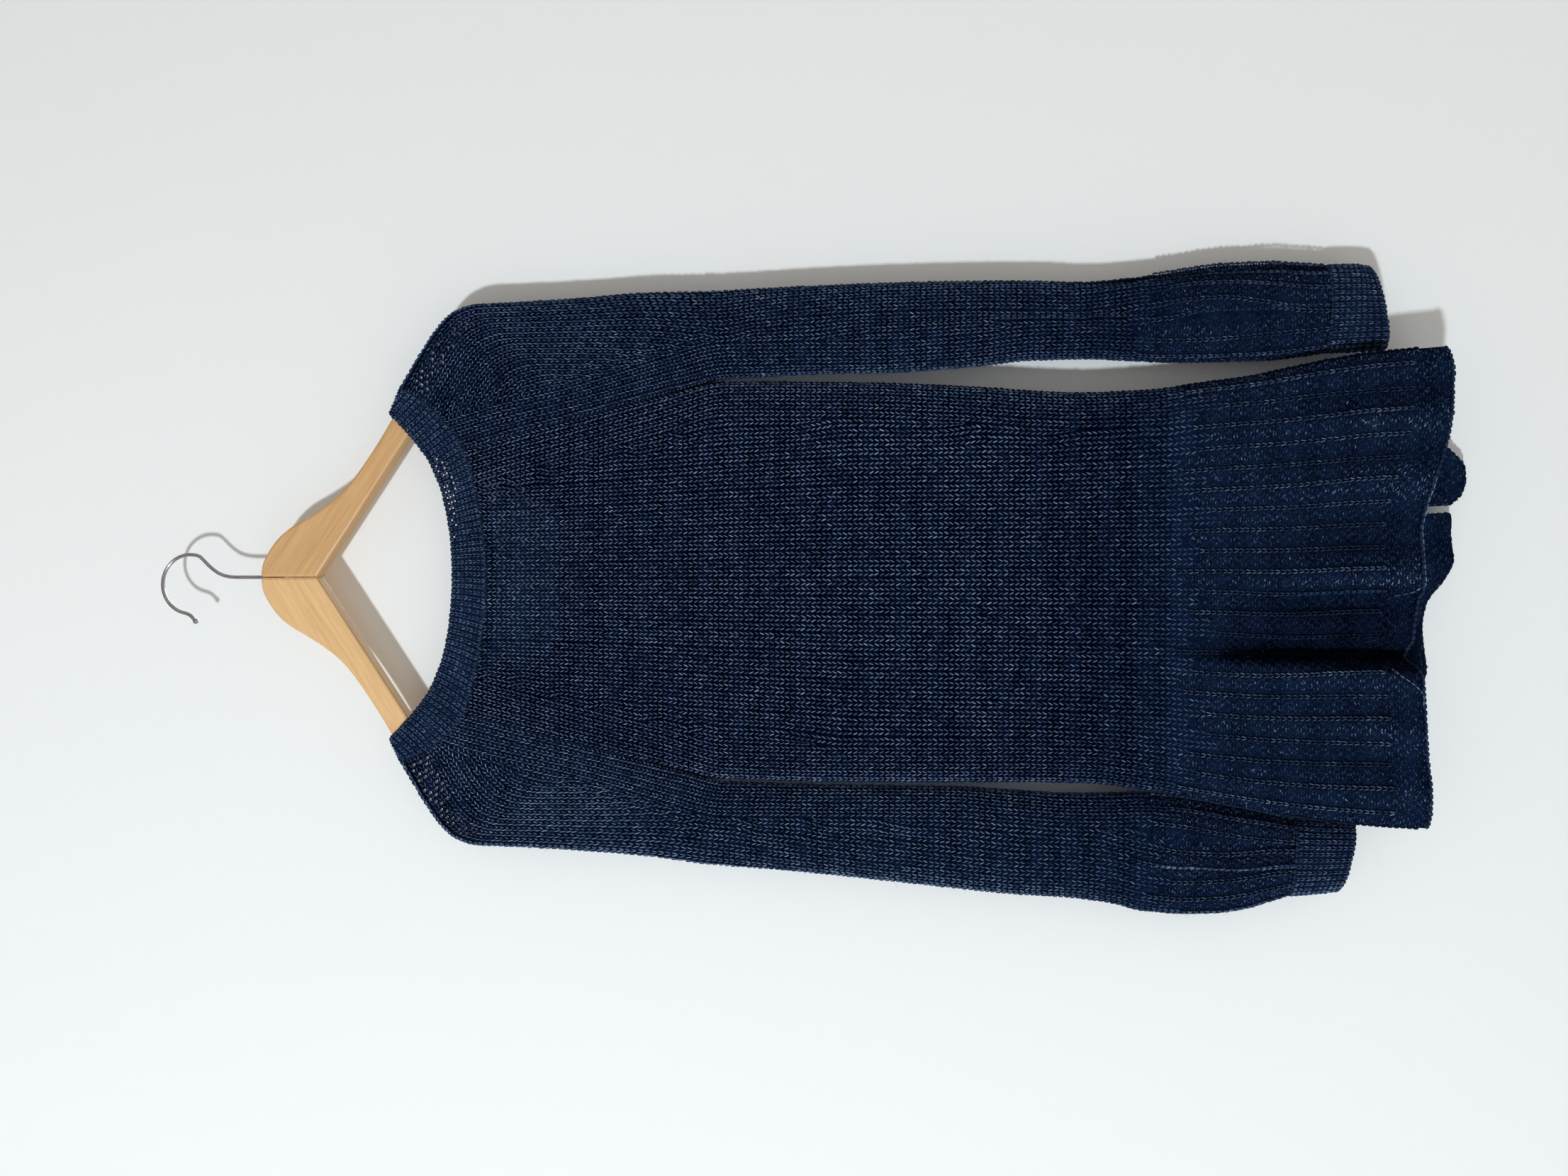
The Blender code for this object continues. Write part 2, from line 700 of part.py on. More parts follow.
# ---------------------------------------------------------------- hanger
def smooth_line(points, per_span=3):
    """More points along a polyline, on a rounded course through its own."""
    points = [np.array(p, float) for p in points]
    ends = [2 * points[0] - points[1], *points, 2 * points[-1] - points[-2]]
    line = []
    for a, b, c, d in zip(ends, ends[1:], ends[2:], ends[3:]):
        for i in range(per_span):
            t = i / per_span
            line.append(
                0.5
                * (
                    2 * b
                    + (c - a) * t
                    + (2 * a - 5 * b + 4 * c - d) * t * t
                    + (3 * b - a - 3 * c + d) * t**3
                )
            )
    line.append(points[-1])
    return line


def hanger_arm(side, material):
    sign = -1 if side == "left" else 1
    # The lower edge is straight from the mitre to where the cloth begins, so
    # only its rounded end is smoothed.
    upper = smooth_line([(row.out, row.z) for row in ARM_TOP + ARM_LOW[:3]], 2)
    outline = upper + [np.array((row.out, row.z)) for row in ARM_LOW[3:]]
    built = bmesh.new()
    verts = [
        built.verts.new(((WOOD_X + sign * x) * MM, 0.0, z * MM)) for x, z in outline
    ]
    built.faces.new(verts)
    mesh = bpy.data.meshes.new(f"hanger_arm_{side}")
    built.to_mesh(mesh)
    built.free()
    arm = add_object(f"hanger_arm_{side}", mesh, material, WOOD_THICK)
    round_off = arm.modifiers.new("eased", "BEVEL")
    round_off.width = WOOD_EASE * MM
    round_off.segments = 2
    round_off.limit_method = "ANGLE"
    round_off.angle_limit = math.radians(60)
    # A bore for the hook's stem, half in each arm.
    bpy.ops.mesh.primitive_cylinder_add(
        vertices=20,
        radius=(WIRE / 2 + 0.3) * MM,
        depth=(STEM_IN_WOOD + 6) * MM,
        location=(WOOD_X * MM, 0, (ARM_TOP[0].z - STEM_IN_WOOD / 2 + 3 - 0.6) * MM),
    )
    cutter = bpy.context.object
    cutter.name = f"bore_{side}"
    cutter.hide_render = True
    cutter.display_type = "WIRE"
    for collection in list(cutter.users_collection):
        collection.objects.unlink(cutter)
    CUTTERS.objects.link(cutter)
    bore = arm.modifiers.new("bore", "BOOLEAN")
    bore.operation = "DIFFERENCE"
    bore.solver = "EXACT"
    bore.object = cutter
    return arm


def hanger_hook(material):
    """A wire bow open to the left, with a small ball on its free end."""
    centre_z = WIRE / 2 - HOOK_R
    stem = [
        (WOOD_X, ARM_TOP[0].z - STEM_IN_WOOD),
        (WOOD_X, -94.0),
        (WOOD_X, -76.0),
        (WOOD_X + 0.3, -62.0),
        (WOOD_X + 3.4, -51.0),
        (WOOD_X + 10.4, -41.5),
    ]
    bow = [
        (
            HOOK_X + HOOK_R * math.cos(math.radians(a)),
            centre_z + HOOK_R * math.sin(math.radians(a)),
        )
        for a in range(-22, 184, 15)
    ]
    tail = [(bow[-1][0] - 2.2, bow[-1][1] - 4.2), (bow[-1][0] - 5.4, bow[-1][1] - 7.4)]
    line = smooth_line(stem + bow + tail, 2)
    sizes = [1.0] * len(line)
    # The ball: three more points past the end, wide in the middle.
    way = line[-1] - line[-2]
    way = way / np.linalg.norm(way)
    ball = 2.3
    for i in range(1, 8):
        angle = math.pi * (0.22 + 0.76 * i / 7)
        line.append(line[len(sizes) - 1] * 0 + tail[-1] + way * ball * (0.77 - math.cos(angle)))
        sizes.append(max(ball * math.sin(angle), 0.12) / (WIRE / 2))
    data = bpy.data.curves.new("hanger_hook", "CURVE")
    data.dimensions = "3D"
    data.bevel_depth = WIRE / 2 * MM
    data.bevel_resolution = 2
    data.use_fill_caps = True
    spline = data.splines.new("POLY")
    spline.points.add(len(line) - 1)
    for point, (x, z), size in zip(spline.points, line, sizes):
        point.co = (x * MM, 0.0, z * MM, 1.0)
        point.radius = size
    data.materials.append(material)
    obj = bpy.data.objects.new("hanger_hook", data)
    PARTS.objects.link(obj)
    return obj


# ---------------------------------------------------------------- build
for old in list(bpy.data.objects):
    bpy.data.objects.remove(old, do_unlink=True)
PARTS = bpy.data.collections.new("knitted_cardigan_on_hanger")
CUTTERS = bpy.data.collections.new("cutters")
bpy.context.scene.collection.children.link(PARTS)
bpy.context.scene.collection.children.link(CUTTERS)

knit = new_material("navy_knit", (0.011, 0.018, 0.055), 0.9)
rib = new_material("navy_rib_knit", (0.010, 0.016, 0.048), 0.9)
wood = new_material("pale_wood", (0.62, 0.36, 0.16), 0.5)
chrome = new_material("bright_steel", (0.62, 0.62, 0.66), 0.15, 1.0)

panel(
    "back_panel", "near", body_left, body_right, back_neck_z, BACK_HEM, 31,
    knit, (0.075, 0.075),
)  # fmt: skip
panel(
    "left_front", "far", body_left, opening_left, front_neck_left,
    LEFT_FRONT_HEM, 17, knit, (0.12, 0.05),
)  # fmt: skip
panel(
    "right_front", "far", opening_right, body_right, front_neck_right,
    RIGHT_FRONT_HEM, 14, knit, (0.06, 0.14),
)  # fmt: skip
for side_name, folds_of, cuff in (
    ("left", LEFT_CREASES, LEFT_CUFF),
    ("right", RIGHT_CREASES, RIGHT_CUFF),
):
    sleeve(side_name, sleeve_rows(side_name), folds_of, f"{side_name}_sleeve", knit)
    sign_of = -1 if side_name == "left" else 1
    sleeve(
        side_name,
        [tube_row(sign_of, row, row.outer - row.inner) for row in cuff],
        [],
        f"{side_name}_cuff",
        rib,
    )
    hanger_arm(side_name, wood)
neckband(rib)
hanger_hook(chrome)
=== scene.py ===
"""Looks of the knitted cardigan on its flat wooden hanger.

The cloth nodes are replaced by thin navy shells on the same forms, painted
dark as shade between the stitches, and the knit itself is modelled stitch
by stitch on them: two leaf-shaped legs for each plain stitch, a short arched
bump for each purl stitch, ribs, cast-off edges and a halo of loose fibres.
Millimetres until a mesh is made.
"""

import math
from collections import namedtuple

import bpy
import numpy as np
from mathutils import Matrix, Vector


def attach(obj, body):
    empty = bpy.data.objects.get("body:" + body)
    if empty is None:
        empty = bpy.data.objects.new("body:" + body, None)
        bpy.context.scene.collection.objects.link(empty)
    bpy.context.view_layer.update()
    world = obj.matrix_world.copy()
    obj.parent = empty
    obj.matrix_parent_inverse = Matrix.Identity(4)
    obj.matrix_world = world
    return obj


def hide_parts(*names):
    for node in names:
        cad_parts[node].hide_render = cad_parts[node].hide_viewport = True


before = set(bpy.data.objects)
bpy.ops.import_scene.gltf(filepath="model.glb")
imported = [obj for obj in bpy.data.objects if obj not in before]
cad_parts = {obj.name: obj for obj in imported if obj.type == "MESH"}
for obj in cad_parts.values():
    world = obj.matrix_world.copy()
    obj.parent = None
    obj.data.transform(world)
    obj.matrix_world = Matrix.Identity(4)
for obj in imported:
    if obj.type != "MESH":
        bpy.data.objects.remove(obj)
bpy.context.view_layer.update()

MM = 0.001
WALL = 2.4  # thickness of the knitted cloth
SEAM = 0.3  # half of the space left between two pieces that are sewn together

WOOD_X = 6.5  # plane of the mitre
ArmTop = namedtuple("ArmTop", "out z")
ARM_TOP = [
    ArmTop(0.2, -94.0),
    ArmTop(9.0, -95.0),
    ArmTop(18.0, -98.6),
    ArmTop(31.0, -107.7),
    ArmTop(41.6, -120.0),
    ArmTop(49.6, -134.8),
    ArmTop(58.8, -150.4),
    ArmTop(70.0, -165.6),
    ArmTop(84.3, -179.0),
    ArmTop(103.2, -193.0),
    ArmTop(122.7, -206.2),
    ArmTop(140.0, -216.6),
    ArmTop(165.0, -231.2),
    ArmTop(190.0, -246.2),
    ArmTop(202.5, -256.0),
    ArmTop(210.6, -265.2),
]

# ---------------------------------------------------------------- garment
NECK_TOP = -277.0  # height of the seam's ends at the back raglans
NECK_FRONT_TOP = -306.0  # the same on the fronts
NECK_MID = -296.5  # lowest point of the back neck seam
V_POINT = -418.0  # lowest point of the front neck seam
UNDERARM = -497.0
RIB_START = -862.0  # the ribbed flounce begins here

# Silhouette of the body: raglan lines down to the underarm, then side seams.
Edge = namedtuple("Edge", "z left right")
EDGE = [
    Edge(-277, -107, 111),
    Edge(-320, -117.5, 123),
    Edge(-386, -133, 138.5),
    Edge(-445, -146, 153),
    Edge(-497, -157, 164),
    Edge(-570, -157.5, 162),
    Edge(-621, -156.5, 160),
    Edge(-695, -155, 155),
    Edge(-738, -153.8, 151),
    Edge(-780, -153.6, 148.5),
    Edge(-830, -158.3, 149.3),
    Edge(-862, -163, 153),
    Edge(-900, -169, 157),
    Edge(-946, -175, 165.5),
    Edge(-980, -177.6, 170.5),
    Edge(-1045, -179.4, 174.5),
]

# How the flattened tube of the body stands: the side seam's y, how far the
# back stands in front of it and the fronts behind it, how far in from the
# side the bend reaches, and how flat the side is (1 flat, 0 fully bent).
Stance = namedtuple("Stance", "z seam near far bend flat")
STANCE = [
    Stance(-205, 0, 9.3, 9.3, 12, 1.0),
    Stance(-300, 0, 9.6, 9.6, 12, 1.0),
    Stance(-386, 0, 10.8, 10.8, 14, 0.93),
    Stance(-445, 0, 11.8, 11.6, 16, 0.55),
    Stance(-497, 0, 13.0, 12.2, 18, 0.0),
    Stance(-621, -1, 15.0, 13.0, 24, 0.0),
    Stance(-767, -2, 16.0, 14.0, 28, 0.0),
    Stance(-830, -4, 17.0, 15.0, 28, 0.0),
    Stance(-862, -7, 17.0, 17.5, 26, 0.0),
    Stance(-914, -13, 17.5, 24.0, 24, 0.0),
    Stance(-978, -19, 17.5, 31.0, 22, 0.0),
    Stance(-1070, -24, 16.5, 36.0, 20, 0.0),
]

# Folds: x where a fold starts and at the hem, the height it starts at and
# how far down it takes to open fully, half its width, how far it goes back
# from the viewer (plus) or comes out (minus), and how steep its left side is
# against its right side.
Fold = namedtuple("Fold", "x_top x_hem z_top run half back skew")
BACK_FOLDS = [
    Fold(-50, -54.5, -838, 95, 10.0, 27.0, 1.9),
    Fold(-62, -68.0, -850, 130, 13.0, -4.0, 1.0),
    Fold(-22, -28.0, -880, 120, 24.0, 10.0, 1.0),
    Fold(-10, -11.5, -866, 90, 8.0, 8.5, 0.8),
    Fold(2, 4.0, -872, 110, 11.0, -7.5, 1.5),
    Fold(27, 33.0, -880, 110, 13.0, 6.5, 1.0),
    Fold(49, 52.0, -885, 110, 10.0, 3.4, 1.0),
    Fold(68, 72.0, -890, 110, 12.0, -3.2, 1.0),
    Fold(88, 96.0, -880, 110, 11.0, 4.6, 1.2),
    Fold(112, 119.0, -885, 120, 13.0, -3.4, 1.0),
    Fold(131, 141.0, -874, 120, 11.0, 6.0, 1.0),
    Fold(-84, -92.0, -886, 120, 12.0, 3.6, 1.0),
    Fold(-104, -112.0, -890, 120, 12.0, -3.4, 1.0),
    Fold(-124, -134.0, -880, 120, 12.0, 5.0, 1.0),
    Fold(-146, -157.0, -890, 120, 11.0, -2.6, 1.0),
]
FRONT_FOLDS = [
    Fold(-128, -141.0, -880, 110, 15.0, -7.0, 1.0),
    Fold(-92, -102.0, -868, 110, 15.0, 5.0, 1.1),
    Fold(-58, -66.0, -858, 110, 14.0, -8.0, 1.3),
    Fold(-22, -28.0, -880, 120, 16.0, 4.6, 1.0),
    Fold(8, 12.0, -872, 120, 15.0, -5.5, 0.8),
    Fold(34, 40.0, -890, 120, 13.0, 4.4, 1.0),
    Fold(72, 82.0, -870, 110, 15.0, 5.6, 1.0),
    Fold(102, 112.0, -862, 110, 13.0, -7.0, 1.2),
    Fold(128, 142.0, -880, 110, 14.0, 4.0, 1.0),
]
# Broad, shallow waves of the plain cloth above the flounce.
BACK_WAVES = [
    Fold(-70, -58.0, -330, 420, 34.0, 1.6, 1.0),
    Fold(-8, -30.0, -520, 330, 30.0, -1.4, 1.0),
    Fold(64, 70.0, -420, 380, 36.0, 1.8, 1.0),
    Fold(112, 118.0, -560, 300, 24.0, -1.6, 1.0),
    Fold(-118, -112.0, -540, 300, 24.0, -1.4, 1.0),
]
FRONT_WAVES = [
    Fold(-74, -80.0, -450, 380, 36.0, -2.0, 1.0),
    Fold(60, 78.0, -500, 360, 34.0, -2.4, 1.0),
    Fold(108, 110.0, -380, 380, 28.0, 1.8, 1.0),
]

# The hems: height at a place along the hem.
Hem = namedtuple("Hem", "x z")
BACK_HEM = [
    Hem(-180, -1019),
    Hem(-148, -1018),
    Hem(-115, -1015),
    Hem(-80, -1014),
    Hem(-40, -1012.5),
    Hem(-10, -1013.5),
    Hem(15, -1013),
    Hem(38, -1012),
    Hem(54, -1015),
    Hem(77, -1022),
    Hem(94, -1027),
    Hem(127, -1032),
    Hem(152, -1033),
    Hem(176, -1031),
]
LEFT_FRONT_HEM = [
    Hem(-180, -1019.5),
    Hem(-120, -1026),
    Hem(-60, -1030),
    Hem(-14, -1034),
    Hem(3, -1044),
    Hem(19, -1051),
    Hem(46, -1052),
    Hem(52, -1051),
    Hem(57, -1046.5),
]
RIGHT_FRONT_HEM = [
    Hem(55, -1041),
    Hem(58.5, -1047.5),
    Hem(63, -1053.5),
    Hem(70, -1059.5),
    Hem(79, -1062.5),
    Hem(88, -1062.3),
    Hem(94, -1058.5),
    Hem(99, -1052),
    Hem(106, -1045),
    Hem(140, -1037),
    Hem(176, -1031.5),
]
# The fronts' meeting line: place at a height.
Opening = namedtuple("Opening", "z x gap")
OPENING = [
    Opening(-380, 12.0, 1.0),
    Opening(-418, 14.0, 1.0),
    Opening(-600, 20.0, 1.4),
    Opening(-800, 32.0, 1.6),
    Opening(-900, 43.0, 2.0),
    Opening(-1000, 54.0, 2.4),
    Opening(-1070, 58.0, 3.0),
]
# Front neck seam, out from its lowest point.
FrontNeck = namedtuple("FrontNeck", "share z")
FRONT_NECK = [
    FrontNeck(0.0, -418),
    FrontNeck(0.30, -386),
    FrontNeck(0.58, -359),
    FrontNeck(0.84, -334),
    FrontNeck(1.0, -306),
]

# Raglan cap of a sleeve: share of the way down the raglan, and the point on
# the shoulder or outer edge that lies in line with it, out from the middle
# of the hanger, with how far that line bows down between the two.
Cap = namedtuple("Cap", "down out z bow bend")
CAP_MIDDLE = 8.0
CAP = [
    Cap(0.00, 156.0, -219.2, 7.0, 5.0),
    Cap(0.05, 170.0, -228.0, 6.0, 5.0),
    Cap(0.11, 185.0, -237.6, 5.0, 5.0),
    Cap(0.18, 199.0, -247.2, 4.0, 5.5),
    Cap(0.26, 210.8, -257.0, 3.0, 6.0),
    Cap(0.35, 219.4, -268.4, 2.0, 7.0),
    Cap(0.45, 224.2, -287.0, 1.0, 9.0),
    Cap(0.58, 224.6, -322.0, 0.0, 12.0),
    Cap(0.72, 226.0, -370.0, 0.0, 16.0),
    Cap(0.86, 228.6, -428.0, 0.0, 22.0),
]
# Tube of a sleeve below the underarm: outer and inner edge, middle and half
# of its depth, and how much lower the outer edge lies than the inner one.
Tube = namedtuple("Tube", "z outer inner mid deep tilt")
LEFT_TUBE = [
    Tube(-497, 226.6, 160.2, 0.0, 13.0, 8.0),
    Tube(-530, 228.0, 160.6, 0.6, 16.0, 4.0),
    Tube(-568, 230.4, 161.0, 1.0, 18.5, 0.0),
    Tube(-614, 233.8, 160.6, 1.5, 20.0, 0.0),
    Tube(-680, 238.8, 160.2, 2.0, 20.5, 0.0),
    Tube(-724, 242.0, 162.0, 2.5, 20.5, 0.0),
    Tube(-768, 243.2, 163.6, 3.0, 20.0, 0.0),
    Tube(-800, 246.6, 162.6, 3.5, 19.5, 0.0),
    Tube(-822, 251.6, 161.4, 4.0, 20.5, 0.0),
    Tube(-850, 253.2, 162.9, 4.0, 21.5, 0.0),
    Tube(-877, 251.6, 167.0, 4.0, 21.5, 0.0),
    Tube(-900, 247.4, 171.0, 4.0, 20.5, 1.0),
    Tube(-918, 241.6, 174.6, 4.0, 19.0, 3.0),
    Tube(-934, 236.4, 178.4, 4.0, 17.5, 5.0),
]
RIGHT_TUBE = [
    Tube(-497, 237.4, 167.6, 0.0, 13.0, 8.0),
    Tube(-530, 238.2, 168.6, 0.6, 16.0, 4.0),
    Tube(-568, 238.8, 169.6, 1.0, 18.5, 0.0),
    Tube(-621, 239.2, 169.4, 1.5, 20.0, 0.0),
    Tube(-695, 238.2, 172.6, 2.0, 20.5, 0.0),
    Tube(-739, 236.8, 176.6, 2.5, 20.0, 0.0),
    Tube(-780, 234.8, 176.8, 3.0, 19.5, 0.0),
    Tube(-812, 236.4, 174.6, 3.5, 19.5, 0.0),
    Tube(-840, 240.0, 172.6, 4.0, 20.5, 0.0),
    Tube(-884, 244.6, 171.6, 4.0, 21.5, 0.0),
    Tube(-917, 244.9, 172.0, 4.0, 21.5, 0.0),
    Tube(-940, 242.8, 174.0, 4.0, 20.0, 0.0),
    Tube(-957, 241.2, 176.2, 4.0, 18.5, 0.0),
]
# Cuffs: the same columns, from the seam to the open end.
LEFT_CUFF = [
    Tube(-936, 236.0, 178.8, 4.0, 17.2, 5.0),
    Tube(-950, 234.8, 179.4, 4.0, 16.6, 7.0),
    Tube(-978, 231.4, 180.4, 4.0, 16.6, 12.0),
]
RIGHT_CUFF = [
    Tube(-959, 241.0, 176.6, 4.0, 18.2, 0.0),
    Tube(-975, 240.8, 177.0, 4.0, 17.4, -2.0),
    Tube(-1001, 238.6, 177.6, 4.0, 17.4, 12.0),
]
# Creases of the sleeves, in the sleeve's own measures: place round the
# sleeve (0 inner edge of the back, 0.5 outer edge, 1 inner edge of the
# front), height they begin and end, half width round it, and depth inwards.
Crease = namedtuple("Crease", "place top low half inward")
LEFT_CREASES = [
    Crease(0.16, -800, -950, 0.040, 3.6),
    Crease(0.28, -812, -960, 0.035, -2.2),
    Crease(0.37, -806, -955, 0.035, 2.6),
    Crease(0.66, -800, -950, 0.045, 3.6),
    Crease(0.82, -806, -955, 0.040, 3.0),
    Crease(0.24, -470, -700, 0.070, 2.4),
    Crease(0.72, -520, -780, 0.070, 2.8),
    Crease(0.05, -700, -960, 0.030, 3.2),
    Crease(0.125, -815, -965, 0.018, 4.2),
    Crease(0.33, -830, -962, 0.017, 4.0),
    Crease(0.09, -505, -660, 0.035, 2.4),
]
RIGHT_CREASES = [
    Crease(0.27, -600, -880, 0.045, 4.4),
    Crease(0.14, -815, -975, 0.040, 3.4),
    Crease(0.34, -830, -970, 0.030, -2.6),
    Crease(0.415, -820, -975, 0.030, 4.2),
    Crease(0.64, -815, -975, 0.045, 3.6),
    Crease(0.80, -822, -975, 0.040, 3.2),
    Crease(0.75, -560, -800, 0.070, 3.0),
    Crease(0.205, -838, -992, 0.017, 5.5),
    Crease(0.262, -890, -985, 0.014, 3.6),
    Crease(0.405, -760, -1000, 0.022, -2.2),
    Crease(0.458, -760, -1000, 0.020, 6.0),
]
# Neckband: its free edge, out from the middle, for each station along the
# seam.  "part" says which piece the seam belongs to and "along" how far.
Band = namedtuple("Band", "part along out z")
BAND_MIDDLE = 7.0
BAND = [
    Band("front", 0.00, 1.5, -387.0),
    Band("front", 0.18, 22.0, -367.0),
    Band("front", 0.42, 48.0, -346.0),
    Band("front", 0.68, 73.0, -324.0),
    Band("front", 0.88, 91.0, -300.0),
    Band("front", 1.00, 101.0, -281.0),
    Band("cap_far", 0.30, 113.0, -255.0),
    Band("cap_far", 0.62, 124.0, -234.0),
    Band("cap_far", 0.84, 131.0, -220.5),
    Band("cap_far", 0.93, 134.6, -214.0),
    Band("cap_far", 0.976, 136.4, -211.4),
    Band("cap_far", 1.00, 137.0, -210.6),
    Band("cap_near", 0.976, 136.0, -211.6),
    Band("cap_near", 0.93, 133.4, -214.6),
    Band("cap_near", 0.84, 127.0, -221.0),
    Band("cap_near", 0.62, 114.0, -233.0),
    Band("cap_near", 0.30, 101.0, -243.5),
    Band("back", 0.00, 89.0, -250.5),
    Band("back", 0.14, 68.0, -258.8),
    Band("back", 0.32, 38.0, -265.0),
    Band("back", 0.50, 0.0, -267.4),
]


# ---------------------------------------------------------------- helpers
def read(rows, column, key, at):
    """A column of a table as a smooth curve without overshoot."""
    rows = sorted(rows, key=lambda row: getattr(row, key))
    x = np.array([getattr(row, key) for row in rows], float)
    y = np.array([getattr(row, column) for row in rows], float)
    at = np.clip(np.asarray(at, float), x[0], x[-1])
    step = np.diff(x)
    rise = np.diff(y) / step
    slope = np.empty_like(y)
    slope[0], slope[-1] = rise[0], rise[-1]
    for i in range(1, len(y) - 1):
        if rise[i - 1] * rise[i] <= 0:
            slope[i] = 0.0
        else:
            a, b = 2 * step[i] + step[i - 1], step[i] + 2 * step[i - 1]
            slope[i] = (a + b) / (a / rise[i - 1] + b / rise[i])
    i = np.clip(np.searchsorted(x, at) - 1, 0, len(step) - 1)
    t = (at - x[i]) / step[i]
    return (
        y[i] * (1 + 2 * t) * (1 - t) ** 2
        + slope[i] * step[i] * t * (1 - t) ** 2
        + y[i + 1] * t * t * (3 - 2 * t)
        + slope[i + 1] * step[i] * t * t * (t - 1)
    )


def bend(distance, reach):
    """Quarter of a round: 0 at the edge, 1 from the given reach inwards."""
    t = np.clip(np.asarray(distance, float) / reach, 0.0, 1.0)
    return np.sqrt(np.maximum(1 - (1 - t) ** 2, 0.0))


def ease(t):
    t = np.clip(t, 0.0, 1.0)
    return t * t * (3 - 2 * t)


def folds(table, x, z):
    """Sum of the folds at a place: plus goes away from the viewer."""
    total = np.zeros(np.broadcast(x, z).shape)
    for row in table:
        down = ease((row.z_top - z) / row.run)
        middle = row.x_top + (row.x_hem - row.x_top) * np.clip(
            (row.z_top - z) / (abs(row.z_top) * 0.0 + 180.0), 0, 1
        )
        off = (x - middle) / row.half
        off = np.where(off < 0, off * row.skew, off)
        total = total + row.back * down * np.exp(-(off**2))
    return total


def edge_x(side, z):
    return read(EDGE, side, "z", z)


def layer_y(face, x, z):
    """Middle of the cloth's thickness for the back (near) or fronts (far)."""
    left, right = edge_x("left", z), edge_x("right", z)
    inside = np.minimum(x - left, right - x)
    flat = read(STANCE, "flat", "z", z)
    full = flat + (1 - flat) * bend(inside, read(STANCE, "bend", "z", z))
    seam = read(STANCE, "seam", "z", z)
    calm = ease(inside / 22.0)
    if face == "near":
        wave = folds(BACK_FOLDS, x, z) + folds(BACK_WAVES, x, z)
        return seam - read(STANCE, "near", "z", z) * full + wave * calm
    wave = folds(FRONT_FOLDS, x, z) + folds(FRONT_WAVES, x, z)
    return seam + read(STANCE, "far", "z", z) * full + wave * calm


def side_space(z):
    """Space between body and sleeve: a butt seam above, two walls below."""
    flat = read(STANCE, "flat", "z", z)
    return SEAM + 1.35 * np.clip((1 - flat) / 0.75, 0.0, 1.0)


def back_neck_z(x):
    left, right = edge_x("left", NECK_TOP), edge_x("right", NECK_TOP)
    share = (x - (left + right) / 2) / ((right - left) / 2)
    return NECK_MID + (NECK_TOP - NECK_MID) * np.clip(share, -1, 1) ** 2



def body_left(z):
    return edge_x("left", z) + side_space(z)


def body_right(z):
    return edge_x("right", z) - side_space(z)


def opening_left(z):
    return read(OPENING, "x", "z", z) - read(OPENING, "gap", "z", z)


def opening_right(z):
    return read(OPENING, "x", "z", z) + read(OPENING, "gap", "z", z)


def front_neck_left(x):
    start = opening_left(V_POINT)
    end = edge_x("left", NECK_FRONT_TOP)
    return read(FRONT_NECK, "z", "share", np.clip((start - x) / (start - end), 0, 1))


def front_neck_right(x):
    start = opening_right(V_POINT)
    end = edge_x("right", NECK_FRONT_TOP)
    return read(FRONT_NECK, "z", "share", np.clip((x - start) / (end - start), 0, 1))



# ---------------------------------------------------------------- sleeves
Row = namedtuple("Row", "near far out depth_near depth_far mid reach flat bow inner")


def sleeve_rows(side):
    """Every section of a sleeve, from the neckband to the balloon's end."""
    sign = -1 if side == "left" else 1
    tube = LEFT_TUBE if side == "left" else RIGHT_TUBE
    rows = []
    for cap in CAP:
        near_z = NECK_TOP + (UNDERARM - NECK_TOP) * cap.down
        far_z = NECK_FRONT_TOP + (UNDERARM - NECK_FRONT_TOP) * cap.down
        near_x, far_x = edge_x(side, near_z), edge_x(side, far_z)
        outer = CAP_MIDDLE + sign * (cap.out + (1.2 if side == "right" else 0.2))
        rows.append(
            Row(
                (near_x + sign * side_space(near_z), near_z),
                (far_x + sign * side_space(far_z), far_z),
                (outer, cap.z),
                float(read(STANCE, "near", "z", near_z)),
                float(read(STANCE, "far", "z", far_z)),
                0.0,
                cap.bend,
                (
                    float(read(STANCE, "flat", "z", near_z)),
                    float(read(STANCE, "flat", "z", far_z)),
                ),
                cap.bow,
                float(read(STANCE, "bend", "z", near_z)),
            )
        )
    for row in tube:
        width = row.outer - row.inner
        rows.append(tube_row(sign, row, width))
    return rows


def tube_row(sign, row, width):
    place = (sign * row.inner, row.z)
    return Row(
        place,
        place,
        (sign * row.outer, row.z + row.tilt),
        row.deep,
        row.deep,
        row.mid,
        0.44 * width,
        (0.0, 0.0),
        0.0,
        0.44 * width,
    )


def pinch(points, place, creases, middle):
    """Creases and ridges pressed into a sleeve along its length."""
    z = points[:, 2]
    depth = np.zeros(len(points))
    for row in creases:
        down = np.clip((row.top - z) / (row.top - row.low), 0, 1)
        along = np.sin(math.pi * down) ** 0.7
        depth += row.inward * along * np.exp(-(((place - row.place) / row.half) ** 2))
    inward = middle - points
    inward[:, 2] = 0
    inward /= np.maximum(np.linalg.norm(inward, axis=1)[:, None], 1e-6)
    return points + inward * depth[:, None]


